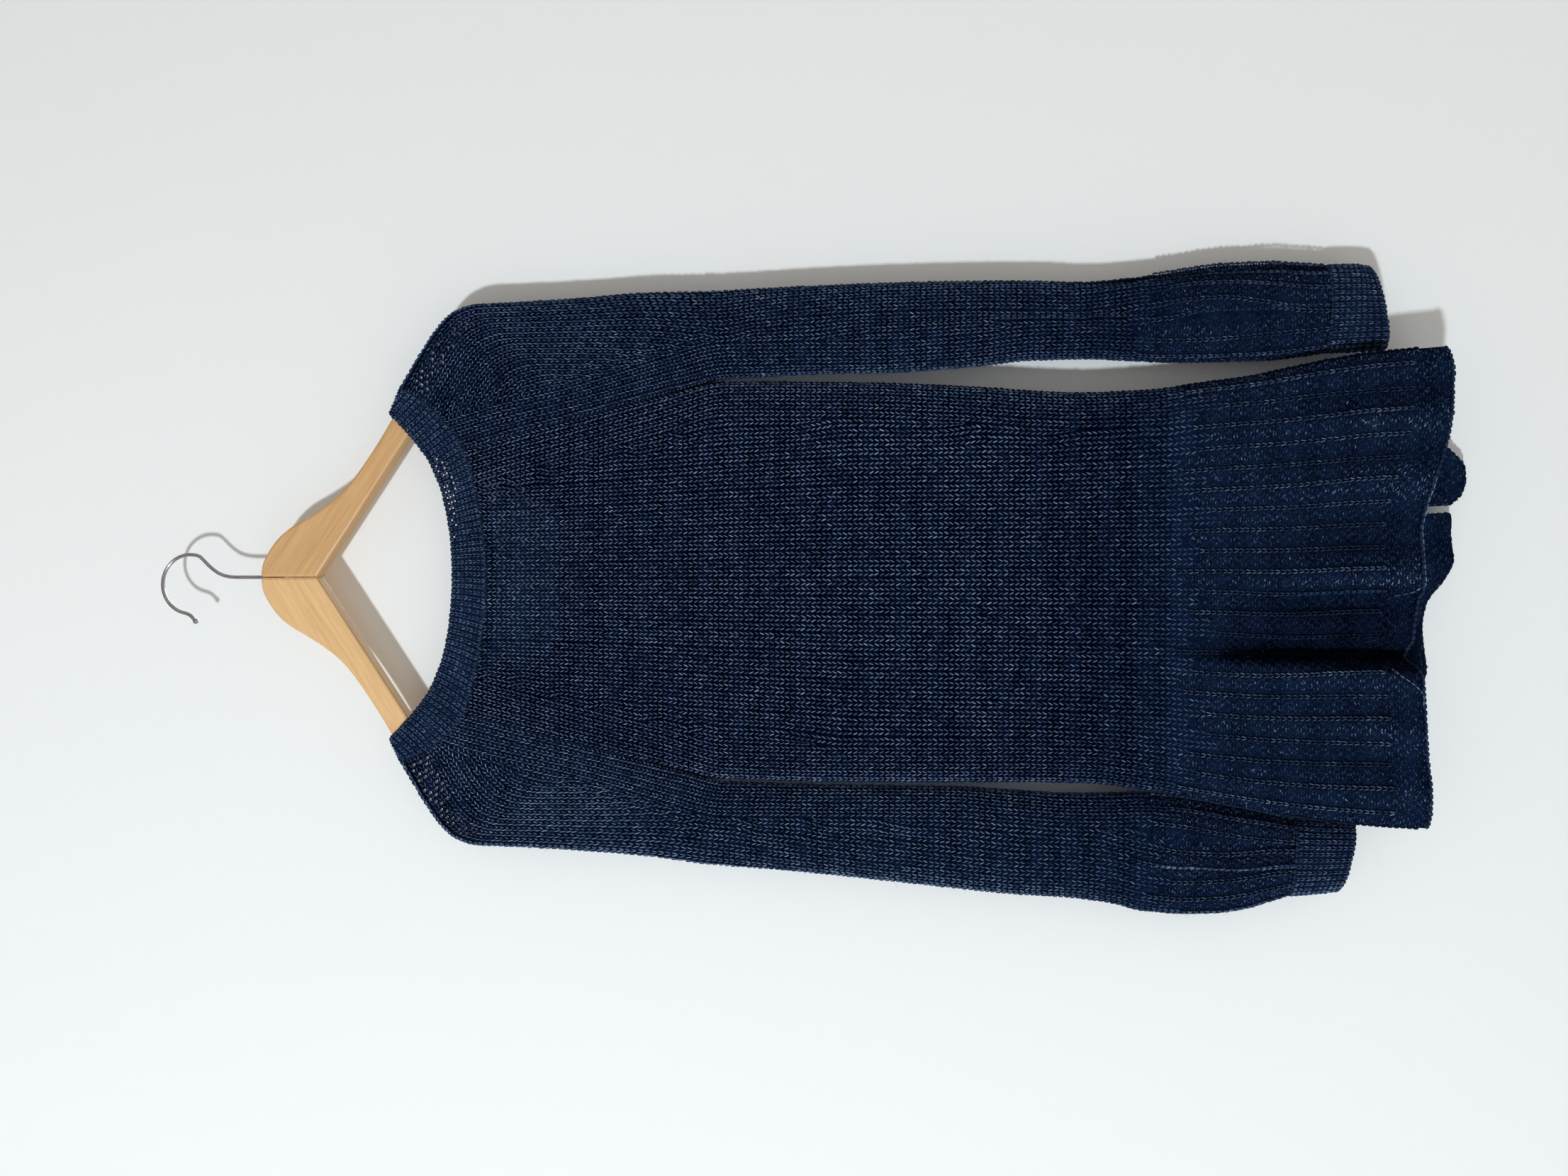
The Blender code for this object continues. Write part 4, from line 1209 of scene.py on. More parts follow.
def wood_material(name, pale, deep, angle, seed):
    material, tree, shader = new_nodes(name)
    link = tree.links.new
    shader.inputs["Roughness"].default_value = 0.48
    shader.inputs["Coat Weight"].default_value = 0.18
    shader.inputs["Coat Roughness"].default_value = 0.3
    where = tree.nodes.new("ShaderNodeTexCoord")
    turn = tree.nodes.new("ShaderNodeMapping")
    turn.vector_type = "POINT"
    turn.inputs["Location"].default_value = (seed, 0.0, 0.0)
    turn.inputs["Rotation"].default_value = (0.0, math.radians(angle), 0.0)
    link(where.outputs["Object"], turn.inputs["Vector"])
    stretch = tree.nodes.new("ShaderNodeMapping")
    stretch.inputs["Scale"].default_value = (14.0, 160.0, 260.0)
    link(turn.outputs["Vector"], stretch.inputs["Vector"])
    grain = tree.nodes.new("ShaderNodeTexNoise")
    grain.inputs["Scale"].default_value = 1.0
    grain.inputs["Detail"].default_value = 6.0
    grain.inputs["Roughness"].default_value = 0.62
    grain.inputs["Distortion"].default_value = 0.35
    link(stretch.outputs["Vector"], grain.inputs["Vector"])
    pores = tree.nodes.new("ShaderNodeMapping")
    pores.inputs["Scale"].default_value = (60.0, 900.0, 1500.0)
    link(turn.outputs["Vector"], pores.inputs["Vector"])
    flecks = tree.nodes.new("ShaderNodeTexNoise")
    flecks.inputs["Scale"].default_value = 1.0
    flecks.inputs["Detail"].default_value = 2.0
    link(pores.outputs["Vector"], flecks.inputs["Vector"])
    both = tree.nodes.new("ShaderNodeMath")
    both.operation = "MULTIPLY_ADD"
    both.inputs[1].default_value = 0.35
    link(flecks.outputs["Fac"], both.inputs[0])
    link(grain.outputs["Fac"], both.inputs[2])
    ramp = tree.nodes.new("ShaderNodeValToRGB")
    ramp.color_ramp.elements[0].position = 0.42
    ramp.color_ramp.elements[0].color = (*deep, 1)
    ramp.color_ramp.elements[1].position = 0.86
    ramp.color_ramp.elements[1].color = (*pale, 1)
    link(both.outputs[0], ramp.inputs["Fac"])
    # Pale greyish white towards the tip, under the garment.
    split = tree.nodes.new("ShaderNodeSeparateXYZ")
    link(where.outputs["Object"], split.inputs[0])
    out = tree.nodes.new("ShaderNodeMath")
    out.operation = "SUBTRACT"
    out.inputs[1].default_value = WOOD_X * MM
    link(split.outputs["X"], out.inputs[0])
    size = tree.nodes.new("ShaderNodeMath")
    size.operation = "ABSOLUTE"
    link(out.outputs[0], size.inputs[0])
    share = tree.nodes.new("ShaderNodeMapRange")
    share.inputs["From Min"].default_value = 0.132
    share.inputs["From Max"].default_value = 0.142
    link(size.outputs[0], share.inputs["Value"])
    mix = tree.nodes.new("ShaderNodeMix")
    mix.data_type = "RGBA"
    link(share.outputs["Result"], mix.inputs["Factor"])
    link(ramp.outputs["Color"], mix.inputs["A"])
    mix.inputs["B"].default_value = (0.95, 0.90, 0.93, 1.0)
    link(mix.outputs["Result"], shader.inputs["Base Color"])
    bump = tree.nodes.new("ShaderNodeBump")
    bump.inputs["Strength"].default_value = 0.35
    bump.inputs["Distance"].default_value = 0.0003
    link(both.outputs[0], bump.inputs["Height"])
    link(bump.outputs["Normal"], shader.inputs["Normal"])
    return material


def chrome_material():
    material, tree, shader = new_nodes("polished_wire")
    shader.inputs["Metallic"].default_value = 1.0
    shader.inputs["Roughness"].default_value = 0.12
    where = tree.nodes.new("ShaderNodeTexCoord")
    noise = tree.nodes.new("ShaderNodeTexNoise")
    noise.inputs["Scale"].default_value = 90.0
    noise.inputs["Detail"].default_value = 4.0
    tree.links.new(where.outputs["Object"], noise.inputs["Vector"])
    ramp = tree.nodes.new("ShaderNodeValToRGB")
    ramp.color_ramp.elements[0].position = 0.3
    ramp.color_ramp.elements[0].color = (0.36, 0.34, 0.40, 1)
    ramp.color_ramp.elements[1].position = 0.7
    ramp.color_ramp.elements[1].color = (0.52, 0.50, 0.57, 1)
    tree.links.new(noise.outputs["Fac"], ramp.inputs["Fac"])
    tree.links.new(ramp.outputs["Color"], shader.inputs["Base Color"])
    return material


stitch_look = knit_material(
    "navy_yarn", (0.0009, 0.0024, 0.0095), (0.0195, 0.0415, 0.1000), (0.245, 0.318, 0.460)
)
# The cloth under the stitches: its near-black low end is painted shade between the stitches, its mid-navy
# tones the closer knit.
cloth_and_gap_shade_look = knit_material(
    "navy_cloth_and_painted_gap_shade", (0.0004, 0.0010, 0.0042), (0.0046, 0.0125, 0.0390), (0.048, 0.085, 0.165),
    gloss=0.0, sheen=0.0, lines=True, grain=560.0, speckle=1.5,
)  # fmt: skip
fibre_look = knit_material(
    "navy_fibres", (0.03, 0.045, 0.09), (0.06, 0.085, 0.15), (0.16, 0.20, 0.28)
)


# ---------------------------------------------------------------- shells
def shell(name, P, thickness=0.9, inset=0.45, keep=None, tone=None):
    """A thin closed cloth through a grid, just under its stitches."""
    S_up = np.gradient(P, axis=0)
    across = np.gradient(P, axis=1)
    normal = unit(np.cross(across, -S_up))
    P = P - normal * inset
    rows, columns = P.shape[:2]
    index = np.arange(rows * columns).reshape(rows, columns)
    quads = np.stack(
        [index[:-1, :-1], index[1:, :-1], index[1:, 1:], index[:-1, 1:]], axis=2
    )
    if keep is not None:
        middle = (P[:-1, :-1] + P[1:, :-1] + P[1:, 1:] + P[:-1, 1:]) / 4
        quads = quads[keep(middle)]
    quads = quads.reshape(-1, 4)
    mesh = bpy.data.meshes.new(name)
    used, inverse = np.unique(quads, return_inverse=True)
    points = P.reshape(-1, 3)[used] * MM
    mesh.from_pydata(points.tolist(), [], inverse.reshape(-1, 4).tolist())
    if tone is not None:
        kept = mesh.attributes.new("tone", "FLOAT", "POINT")
        flat = P.reshape(-1, 3)[used]
        kept.data.foreach_set("value", (tone(flat) + 0 * flat[:, 0]).astype(np.float32))
    mesh.materials.append(cloth_and_gap_shade_look)
    mesh.shade_smooth()
    obj = bpy.data.objects.new(name, mesh)
    bpy.context.scene.collection.objects.link(obj)
    wall = obj.modifiers.new("wall", "SOLIDIFY")
    wall.thickness = thickness * MM
    wall.offset = 0.0
    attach(obj, "root")
    COUNTS[name] = len(quads) * 4
    return obj


HALO = []


def netting(name, P, origin, pitch, phase, where, chance, tone=None, inset=0.6,
            big=False, uneven=0.0):
    """Fine cloth with an opening between the legs of a stitch, and one
    between neighbouring stitches half a course lower. Big openings are two
    cells wide, and an uneven share of those cells stays closed."""
    K = len(P)
    at = np.clip(np.arange(2 * K) / 2 - 0.25, 0, K - 1)
    a = np.minimum(at.astype(int), K - 2)
    t = at - a
    P2 = P[a] * (1 - t)[:, None, None] + P[a + 1] * t[:, None, None]
    S2 = arc(P2)
    origin2 = origin[a] * (1 - t) + origin[a + 1] * t
    pitch2 = pitch[a] * (1 - t) + pitch[a + 1] * t
    reach = int(S2[:, -1].max() / pitch.min() * 4)
    n = np.arange(-reach, reach + 1)
    s = origin2[:, None] + (n[None] - 0.5) * pitch2[:, None] / 4
    inside = (s > 0.5) & (s < S2[:, -1:] - 0.5)
    used = inside.any(axis=0)
    s, inside, n = s[:, used], inside[:, used], n[used]
    G = rows_at(P2, S2, np.clip(s, 0.5, S2[:, -1:] - 0.5))
    cell = inside[:-1, :-1] & inside[1:, 1:] & inside[1:, :-1] & inside[:-1, 1:]
    row = np.arange(2 * K - 1)[:, None]
    column = n[None, :-1] + phase
    if big:
        spot = ((column % 4 // 2 == 0) & (row % 4 == 0)) | ((column % 4 // 2 == 1) & (row % 4 == 2))
        dice = CHANCE.random((cell.shape[0], cell.shape[1] // 2 + 3))
        dice = dice[row, (column - column.min() + column.min() % 2) // 2]
        dice = dice + (CHANCE.random(cell.shape) < uneven)
    else:
        spot = ((column % 4 == 2) & (row % 2 == 0)) | ((column % 4 == 0) & (row % 2 == 1))
        dice = CHANCE.random(cell.shape)
    return shell(
        name, G, inset=inset, thickness=0.6, tone=tone,
        keep=lambda Q: cell & where(Q) & ~(spot & (dice < chance(Q))),
    )  # fmt: skip


def below_neck_back(Q):
    return Q[..., 2] < back_neck_z(Q[..., 0]) + 0.6


def below_neck_left(Q):
    return Q[..., 2] < front_neck_left(Q[..., 0]) + 0.6


def below_neck_right(Q):
    return Q[..., 2] < front_neck_right(Q[..., 0]) + 0.6


def inside_neck_v(x, z, margin):
    """True where nothing lies behind the back: within the open V neck."""
    left = z > front_neck_left(x) + margin
    right = z > front_neck_right(x) + margin
    middle = float(read(OPENING, "x", "z", V_POINT))
    return np.where(x < middle, left, right)


COURSE = 4.15


def painted_fold_shade(Q):
    """Painted shade low in the folds of the back, and a little painted light along their tops."""
    x, z = Q[..., 0], Q[..., 2]
    middle = -50.0 - 4.5 * np.clip((-838.0 - z) / 180.0, 0, 1)
    off = x - middle
    deep = np.exp(-((off / np.where(off < 0, 8.0, 12.0)) ** 2)) * ease((-836.0 - z) / 60.0)
    wide = np.exp(-(((off - 19.0) / 17.0) ** 2)) * ease((-850.0 - z) / 70.0)
    back = np.clip(folds(BACK_FOLDS[1:], x, z), -6.0, 6.0)
    light = (1.0 - 0.95 * deep) * (1.0 - 0.36 * wide) * (1.0 - 0.062 * back)
    # Painted shade where the lip left of the deep fold turns under at the hem.
    under = ease((x + 82.0) / 6.0) * ease((-58.0 - x) / 3.0)
    under = under * ease((lip_z(x) - z) / 1.5)
    light = light * (1.0 - 0.5 * under)
    return np.where(Q[..., 1] < 0.5, light, 1.0)


def lip_z(x):
    """Height of the rolled edge beside the deep fold, near the hem."""
    return -1013.5 + 21.0 * ease((x + 86.0) / 26.0) ** 1.6


def cloth_tone_with_painted_shade(Q):
    """The cloth between the stitches: deep navy, near black above, painted as shade between the stitches;
    closer knit below, darkened by the painted fold shade.
    """
    return 0.035 + 0.235 * ease((-806.0 - Q[:, 2]) / 54.0) * painted_fold_shade(Q)


def do_panel(name, face, left_of, right_of, top_of, hem, inside, first_c, counts, flip, odd,
             shell_size, keep=None):
    c = course_rows(first_c, -1020.0, COURSE)
    share = np.linspace(0, 1, 340)
    P = panel_at(face, left_of, right_of, hem, c, share)
    S = arc(P)
    gap = field_pitch(c)
    numbers = np.arange(-26, 27)
    xs = 2.0 + numbers[None] * gap[:, None]
    field = np.stack([np.interp(x, row, s) for x, row, s in zip(xs, P[:, :, 0], S)])
    outside = (xs < P[:, :1, 0]) | (xs > P[:, -1:, 0])
    if flip:
        field = S[:, -1:] - field
        P = P[:, ::-1]
        field = field[:, ::-1]
        outside = outside[:, ::-1]
    field = np.where(outside, -50.0, field)
    body = Stitches(f"{name}_stitches")
    flounce = Stitches(f"{name}_flounce_stitches")
    knit(
        body, flounce, P, c, field, gap, counts, edge_pitch(c), GATHER, inside,
        lambda heights: (heights + 1020.0), RIB_TOP, odd=odd, halo=HALO,
    )  # fmt: skip
    grid = panel_shell(face, left_of, right_of, top_of, hem, *shell_size, -300)
    if flip:
        grid = grid[:, ::-1]
    base = shell(f"{name}_cloth", grid, keep=keep, tone=cloth_tone_with_painted_shade)
    # The inside shows below the hem and within the neck; here it is added below the hem only.
    low = c < -965.0
    S_low = S[low] if not flip else arc(P[low])
    places = (np.arange(int(S_low[:, -1].mean() / 4.3)) + 0.5)[None] * 4.3 + 0 * S_low[:, :1]
    Q, A, U, N = frames(P[low], S_low, places)
    k, m = np.where(places < S_low[:, -1:] - 2)
    purl(flounce, Q[k, m] - N[k, m] * 0.9, -A[k, m] * 4.3, U[k, m], -N[k, m], k + m, tone=0.40)
    # The cast-off hem.
    line = grid[-1]
    up = unit(grid[-2] - grid[-1])
    normal = unit(np.cross(unit(np.gradient(line, axis=0)), up))
    chain(flounce, line + up * 0.6, normal, tone=0.36)
    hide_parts(name)
    return body, flounce, base, grid


def in_back_window(Q, grow=0.0):
    """The part of the back with nothing behind it, where light comes through."""
    x, z = Q[..., 0], Q[..., 2]
    return inside_neck_v(x, z, 12.0 - grow) & (z < back_neck_z(x) - 5.0 + grow * 0.6)


def window_chance(Q):
    """Faint openings, and one ladder down from the middle of the neck."""
    x, z = Q[..., 0], Q[..., 2]
    fade = ease((z + 400.0) / 50.0)
    few = fade * (0.05 + 0.30 * ease((x - 20.0) / 60.0) * ease((104.0 - x) / 20.0))
    ladder = (np.abs(x + 1.2) < 1.0) & (z < -312) & (z > -372)
    second = (np.abs(x - 36.8) < 1.0) & (z < -306) & (z > -342)
    return np.where(ladder | second, 0.85, few)


# Painted light: the middle of the V window gets a lighter tone for light coming through the thin back,
# over a near-black painted gap shade.
def painted_window_light(Q):
    x, z = Q[:, 0], Q[:, 2]
    inner = ease(-(np.abs(x - 6.0) - 92.0) / 50.0) * ease((z + 395.0) / 70.0)
    return 0.02 + 0.22 * inner


def seam_line(face, side, heights, push):
    x = edge_x(side, heights)
    line = np.stack([x, layer_y(face, x, heights), heights], axis=1)
    out = -1.0 if face == "near" else 1.0
    normal = np.repeat(np.array([[0.0, out, 0.0]]), len(heights), axis=0)
    return line - normal * push, normal


# ---------------------------------------------------------------- body
body, flounce, base, grid = do_panel(
    "back_panel", "near", body_left, body_right, back_neck_z, BACK_HEM, below_neck_back,
    -277.0, (5, 5), False, 1, (84, 138), keep=lambda Q: ~in_back_window(Q),
)  # fmt: skip
c = course_rows(-277.0, -1020.0, COURSE)
c = c[c > -432]
P = panel_at("near", body_left, body_right, BACK_HEM, c, np.linspace(0, 1, 200))
S = arc(P)
origin = np.array([np.interp(2.0, row[:, 0], s) for row, s in zip(P, S)])
window = netting(
    "back_panel_open_cloth", P, origin, field_pitch(c), 2, lambda Q: in_back_window(Q, 9.0),
    window_chance, tone=painted_window_light,
)  # fmt: skip
# The fine edges where the hem rolls over beside the deep fold, with a painted highlight: their links get a
# bright tone.
row = grid[-1]
part = row[(row[:, 0] > -4.0) & (row[:, 0] < 78.0)]
way = np.repeat(np.array([[0.0, -1.0, 0.0]]), len(part), axis=0)
chain(flounce, part + [[0.0, -1.0, -0.2]], way, pitch=5.2, radius=0.5, tone=0.85)
x = np.linspace(-88.0, -60.5, 40)
z = lip_z(x)
lip = np.stack([x, layer_y("near", x, z) - 1.1, z], axis=1)
chain(flounce, lip, np.repeat([[0.0, -1.0, 0.0]], 40, axis=0), pitch=4.6, radius=0.5, tone=0.85)
z = np.linspace(-997.0, -1014.0, 30)
x = -5.0 - 3.5 * ease((z + 1014.0) / 17.0) + 4.0 * ease((-1008.0 - z) / 6.0)
lip = np.stack([x, layer_y("near", x, z) - 1.1, z], axis=1)
chain(flounce, lip, np.repeat([[0.0, -1.0, 0.0]], 30, axis=0), pitch=4.6, radius=0.5, tone=0.85)
for side in ("left", "right"):
    for face in ("near", "far"):
        line, normal = seam_line(face, side, np.linspace(-282, -496, 60), 0.9)
        chain(body, line, normal, pitch=4.4, radius=1.25, tone=0.28)
    heights = np.linspace(-498, -1016, 130)
    x = edge_x(side, heights)
    line = np.stack([x, read(STANCE, "seam", "z", heights), heights], axis=1)
    normal = np.repeat(np.array([[-1.0 if side == "left" else 1.0, 0, 0]]), 130, axis=0)
    chain(flounce, line - normal * 0.4, normal, pitch=4.4, radius=1.2, tone=0.3)
body.build(stitch_look, "knit")
flounce.build(stitch_look, "knit")  # fmt: skip

for name, left_of, right_of, top_of, hem, inside, counts, size in (
    ("left_front", body_left, opening_left, front_neck_left, LEFT_FRONT_HEM,
     below_neck_left, (3, 5), (74, 58)),
    ("right_front", opening_right, body_right, front_neck_right, RIGHT_FRONT_HEM,
     below_neck_right, (5, 3), (74, 48)),
):  # fmt: skip
    body, flounce, base, grid = do_panel(
        name, "far", left_of, right_of, top_of, hem, inside, -306.0, counts, True,
        1 if name == "left_front" else 1, size,
    )  # fmt: skip
    edge = grid[:, 0] if name == "left_front" else grid[:, -1]
    way = np.repeat(np.array([[0.0, 1.0, 0.0]]), len(edge), axis=0)
    inward = -1.0 if name == "left_front" else 1.0
    chain(flounce, edge + [[inward * 0.8, 0, 0]], way, tone=0.42, radius=1.2)
    body.build(stitch_look, "knit")
    flounce.build(stitch_look, "knit")


# ---------------------------------------------------------------- sleeves
def wood_top(out):
    return read(ARM_TOP, "z", "out", out)


def over_the_wood(Q, grow=0.0):
    """Where the shoulder stretches over the arm of the hanger and opens up."""
    x, y, z = Q[..., 0], Q[..., 1], Q[..., 2]
    out = np.abs(x - WOOD_X)
    below = wood_top(np.clip(out, 0, 210)) - z
    return (
        (y < -1.0 + grow * 0.1)
        & (out > 136 - grow * 0.3)
        & (out < 216 + grow)
        & (below < 29.0 + grow)
        & (below > -5.0 - grow * 0.5)
    )


def shoulder_chance(Q):
    x, z = Q[..., 0], Q[..., 2]
    out = np.abs(x - WOOD_X)
    below = wood_top(np.clip(out, 0, 210)) - z
    near_band = ease((out - 136.0) / 8.0)
    tip = ease((228.0 - out) / 14.0)
    patchy = np.where(x < 0, 0.25, 0.10) * np.sin(out * 0.16 + 0.5) * np.sin(z * 0.21)
    share = np.where(x < 0, 1.1, 1.16) * (0.80 + patchy)
    return share * near_band * tip * ease((27.0 - below) / 7.0) * ease((below + 3.0) / 4.0)


def make_sleeve(side, creases, cuff, pitch, course):
    rows = sleeve_rows(side)
    P = sleeve_grid(side, rows, creases, course, 70)
    S = arc(P)
    middle = S[:, 69]
    c = P[:, 0, 2] if side == "right" else P[:, -1, 2]
    numbers = np.arange(-22, 23) + 0.5
    gap = np.full(len(c), pitch)
    field = middle[:, None] + numbers[None] * pitch
    name = f"{side}_sleeve"
    # Painted shade: the cloth between the stitches is dark. Painted light: the left sleeve, on the side
    # the light comes from, gets a lighter cloth and stitch tone than the right.
    painted_gap_and_side_shade = 0.14 if side == "left" else 0.10
    upper, balloon = Stitches(f"{name}_stitches"), Stitches(f"{name}_balloon_stitches")
    knit(
        upper, balloon, P, c, field, gap, (5, 5), np.full(len(c), 6.0), -812.0,
        lambda Q: np.ones(Q.shape[:-1], bool), lambda heights: heights * 0 + 999.0, -832.0,
        flat_share=0, odd=1, halo=HALO, tone=0.80 if side == "left" else 0.73,
        stretch=lambda Q: over_the_wood(Q) * shoulder_chance(Q) * (1.0 if side == "left" else 0.55),
    )  # fmt: skip
    top = int((c > -440).sum())
    open_part = netting(
        f"{name}_open_cloth", P[:top], middle[:top], gap[:top], 0,
        lambda Q: over_the_wood(Q, 6.0), shoulder_chance, tone=lambda Q: 0.16,
        big=True, uneven=0.0 if side == "left" else 0.30,
    )  # fmt: skip
    grid = sleeve_grid(side, rows, creases, 7.5, 32, extend=1.0)
    base = shell(
        f"{name}_cloth", grid, keep=lambda Q: ~over_the_wood(Q),
        tone=lambda Q: painted_gap_and_side_shade + (0.25 - painted_gap_and_side_shade) * ease((-800.0 - Q[:, 2]) / 40.0),
    )  # fmt: skip
    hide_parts(name)
    line = (P[:, 0] + P[:, -1]) / 2
    low = c < UNDERARM + 4
    inner = np.repeat(
        np.array([[1.0 if side == "left" else -1.0, 0.0, 0.0]]), low.sum(), axis=0
    )
    chain(upper, line[low], inner, pitch=4.4, radius=1.2, tone=0.3)
    upper.build(stitch_look, "knit")
    balloon.build(stitch_look, "knit")  # fmt: skip
    # Cuff: narrow ribs all round, and a cast-off edge.
    sign = -1 if side == "left" else 1
    rows = [tube_row(sign, row, row.outer - row.inner) for row in cuff]
    P = sleeve_grid(side, rows, [], 4.0, 60)
    S = arc(P)
    count = int(round(S[:, -1].mean() / 4.6))
    s = (np.arange(count) + 0.5)[None] * S[:, -1:] / count
    Q, A, U, N = frames(P, S, s)
    ribs = Stitches(f"{side}_cuff_stitches")
    Q, A, U, N = (v.reshape(-1, 3) for v in (Q, A, U, N))
    plain(ribs, Q, A * 3.5, U, N, wide=0.22, thick=1.1, lift=0.3, tone=0.67)
    grid = sleeve_grid(side, rows, [], 5.0, 30, extend=1.0)
    base = shell(f"{side}_cuff_cloth", grid, tone=lambda Q: 0.33)
    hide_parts(f"{side}_cuff")
    line = grid[-1]
    up = unit(grid[-2] - grid[-1])
    normal = unit(np.cross(unit(np.gradient(line, axis=0)), up))
    chain(ribs, line + up * 0.5, normal, pitch=3.8, radius=1.3, tone=0.4)
    line = grid[0]
    normal = unit(np.cross(unit(np.gradient(line, axis=0)), unit(grid[0] - grid[1])))
    chain(ribs, line + unit(grid[0] - grid[1]) * 1.0, normal, pitch=4.2, radius=1.5, tone=0.34)
    HALO.append((Q, N, U))
    ribs.build(stitch_look, "rib_knit")


make_sleeve("left", LEFT_CREASES, LEFT_CUFF, 6.6, 4.35)
make_sleeve("right", RIGHT_CREASES, RIGHT_CUFF, 6.0, 4.35)


# ---------------------------------------------------------------- neckband
def band_grid(count, low=0.0, high=1.0):
    """Rows from the free edge to the seam, columns all round the neck."""
    seams, frees = [], []
    for side in ("left", "right"):
        sign = -1 if side == "left" else 1
        seam_half, free_half = [], []
        for row in BAND:
            seam = seam_point(side, row.part, row.along)
            shift = 7.0 * float(ease((-330 - row.z) / 60.0))
            free = np.array([BAND_MIDDLE + shift + sign * row.out, 0.0, row.z])
            free[1] = seam[1] * (0.97 if abs(seam[1]) > 1 else 1.0)
            way = (free - seam) / np.linalg.norm(free - seam)
            seam_half.append(seam + way * 2 * SEAM)
            free_half.append(free)
        seams += seam_half if side == "left" else seam_half[::-1][1:]
        frees += free_half if side == "left" else free_half[::-1][1:]
    seam, free = np.array(smooth_line(seams, 7)), np.array(smooth_line(frees, 7))
    share = low + (high - low) * np.linspace(0, 1, count)
    return free[None] + (seam - free)[None] * share[:, None, None]


BAND_RIB = 4.7
P = band_grid(8, 0.07, 0.95)
S = arc(P)
count = int(round(S[0, -1] / BAND_RIB))
s = (np.arange(count) + 0.5)[None] * S[:, -1:] / count
Q, A, U, N = (v.reshape(-1, 3) for v in frames(P, S, s))
ribs = Stitches("neckband_stitches")
plain(ribs, Q, A * 3.9, U, N, wide=0.20, thick=0.95, lift=0.3, tone=0.73)
HALO.append((Q, N, U))
grid = band_grid(9)
normal = unit(np.cross(unit(np.gradient(grid[0], axis=0)), unit(grid[0] - grid[1])))
chain(ribs, grid[0] - unit(grid[0] - grid[1]) * 0.4, normal, pitch=4.2, radius=1.3, tone=0.34)
normal = unit(np.cross(unit(np.gradient(grid[-1], axis=0)), unit(grid[0] - grid[1])))
chain(ribs, grid[-1], normal, pitch=4.4, radius=1.35, tone=0.36)
out = unit(grid[-1] - grid[-2])
chain(ribs, grid[-1] + out * 1.7 - normal * 0.7, normal, pitch=4.6, radius=1.9, tone=0.13)


def thin_band(Q, grow=0.0):
    """The part of the band with only air behind it, on the viewer's right."""
    x, y = Q[..., 0], Q[..., 1]
    return (y < 0) & (x > 8 - grow) & (x < 112 + grow)


# Its rows: bars between four rows of openings, then closed cloth.
edges = np.array([0.0, 2.4, 4.0, 5.3, 6.9, 8.2, 9.8, 11.1, 12.7, 14.0, 17.0, 21.0, 24.6, 28.0])
P = np.stack([band_grid(2, e / 28.0, 1.0)[0] for e in edges])
S = arc(P)
n = np.arange(4 * count)
s = (n[None] - 0.5) * S[:, -1:] / (4 * count)
G = rows_at(P, S, np.clip(s, 0, S[:, -1:]))
row = np.arange(len(edges) - 1)[:, None]
spot = (n[None, :-1] % 4 == 0) & (row % 2 == 1) & (row < 8)
dice = CHANCE.random(spot.shape)


def band_chance(Q):
    x = Q[..., 0]
    reach = 1.0 + 7.5 * ease((x - 30.0) / 55.0)
    return ease((x - 10.0) / 30.0) * ease((110.0 - x) / 10.0) * (row <= reach) * 0.58


patch = shell(
    "neckband_open_cloth", G, inset=0.4, thickness=0.6, tone=lambda Q: 0.34,
    keep=lambda Q: thin_band(Q, 3.0) & ~(spot & (dice < band_chance(Q))),
)  # fmt: skip
base = shell(
    "neckband_cloth", grid, inset=0.35, tone=lambda Q: 0.36,
    keep=lambda Q: ~thin_band(Q),
)  # fmt: skip
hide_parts("neckband")
ribs.build(stitch_look, "rib_knit")


# ---------------------------------------------------------------- halo
def fibres(count):
    Q = np.concatenate([h[0].reshape(-1, 3) for h in HALO])
    N = np.concatenate([h[1].reshape(-1, 3) for h in HALO])
    U = np.concatenate([h[2].reshape(-1, 3) for h in HALO])
    pick = CHANCE.choice(len(Q), count, replace=False)
    Q, N, U = Q[pick], N[pick], unit(U[pick])
    A = np.cross(U, N)
    turn = CHANCE.uniform(0, 2 * math.pi, (count, 1))
    flat = A * np.cos(turn) + U * np.sin(turn)
    length = CHANCE.gamma(3.0, 1.0, (count, 1)) + 1.2
    rise = CHANCE.uniform(0.25, 1.0, (count, 1))
    curl = unit(CHANCE.normal(0, 1, (count, 3))) * 0.5
    start = Q + N * 0.3 + flat * CHANCE.normal(0, 1.0, (count, 1))
    one = start + (N * rise + flat * 0.6) * length * 0.35
    two = one + (N * rise * 0.7 + flat + curl) * length * 0.35
    three = two + (N * rise * 0.2 + flat + curl * 2.2) * length * 0.35
    centre = np.stack([start, one, two, three], axis=1)
    way = unit(centre[:, 2] - centre[:, 1])
    side = unit(np.cross(N, way)) * 0.055
    up = unit(np.cross(way, side)) * 0.055
    piece = Stitches("loose_fibres")
    piece.add(
        centre, np.repeat(side[:, None], 4, 1), np.repeat(up[:, None], 4, 1),
        tones(count, 0.8, 0.3), np.radians([-30.0, 90.0, 210.0]),
    )  # fmt: skip
    return piece.build(fibre_look, "knit")


fibres(3900)


# ---------------------------------------------------------------- hanger
for arm, look in (
    ("hanger_arm_left", wood_material("pale_wood", (0.74, 0.47, 0.23), (0.60, 0.33, 0.13), 35.0, 0.0)),
    ("hanger_arm_right", wood_material("amber_wood", (0.62, 0.36, 0.16), (0.47, 0.25, 0.095), -35.0, 3.0)),
):
    node = bpy.data.objects[arm]
    for place in node.material_slots:
        place.material = look
for place in bpy.data.objects["hanger_hook"].material_slots:
    place.material = chrome_material()


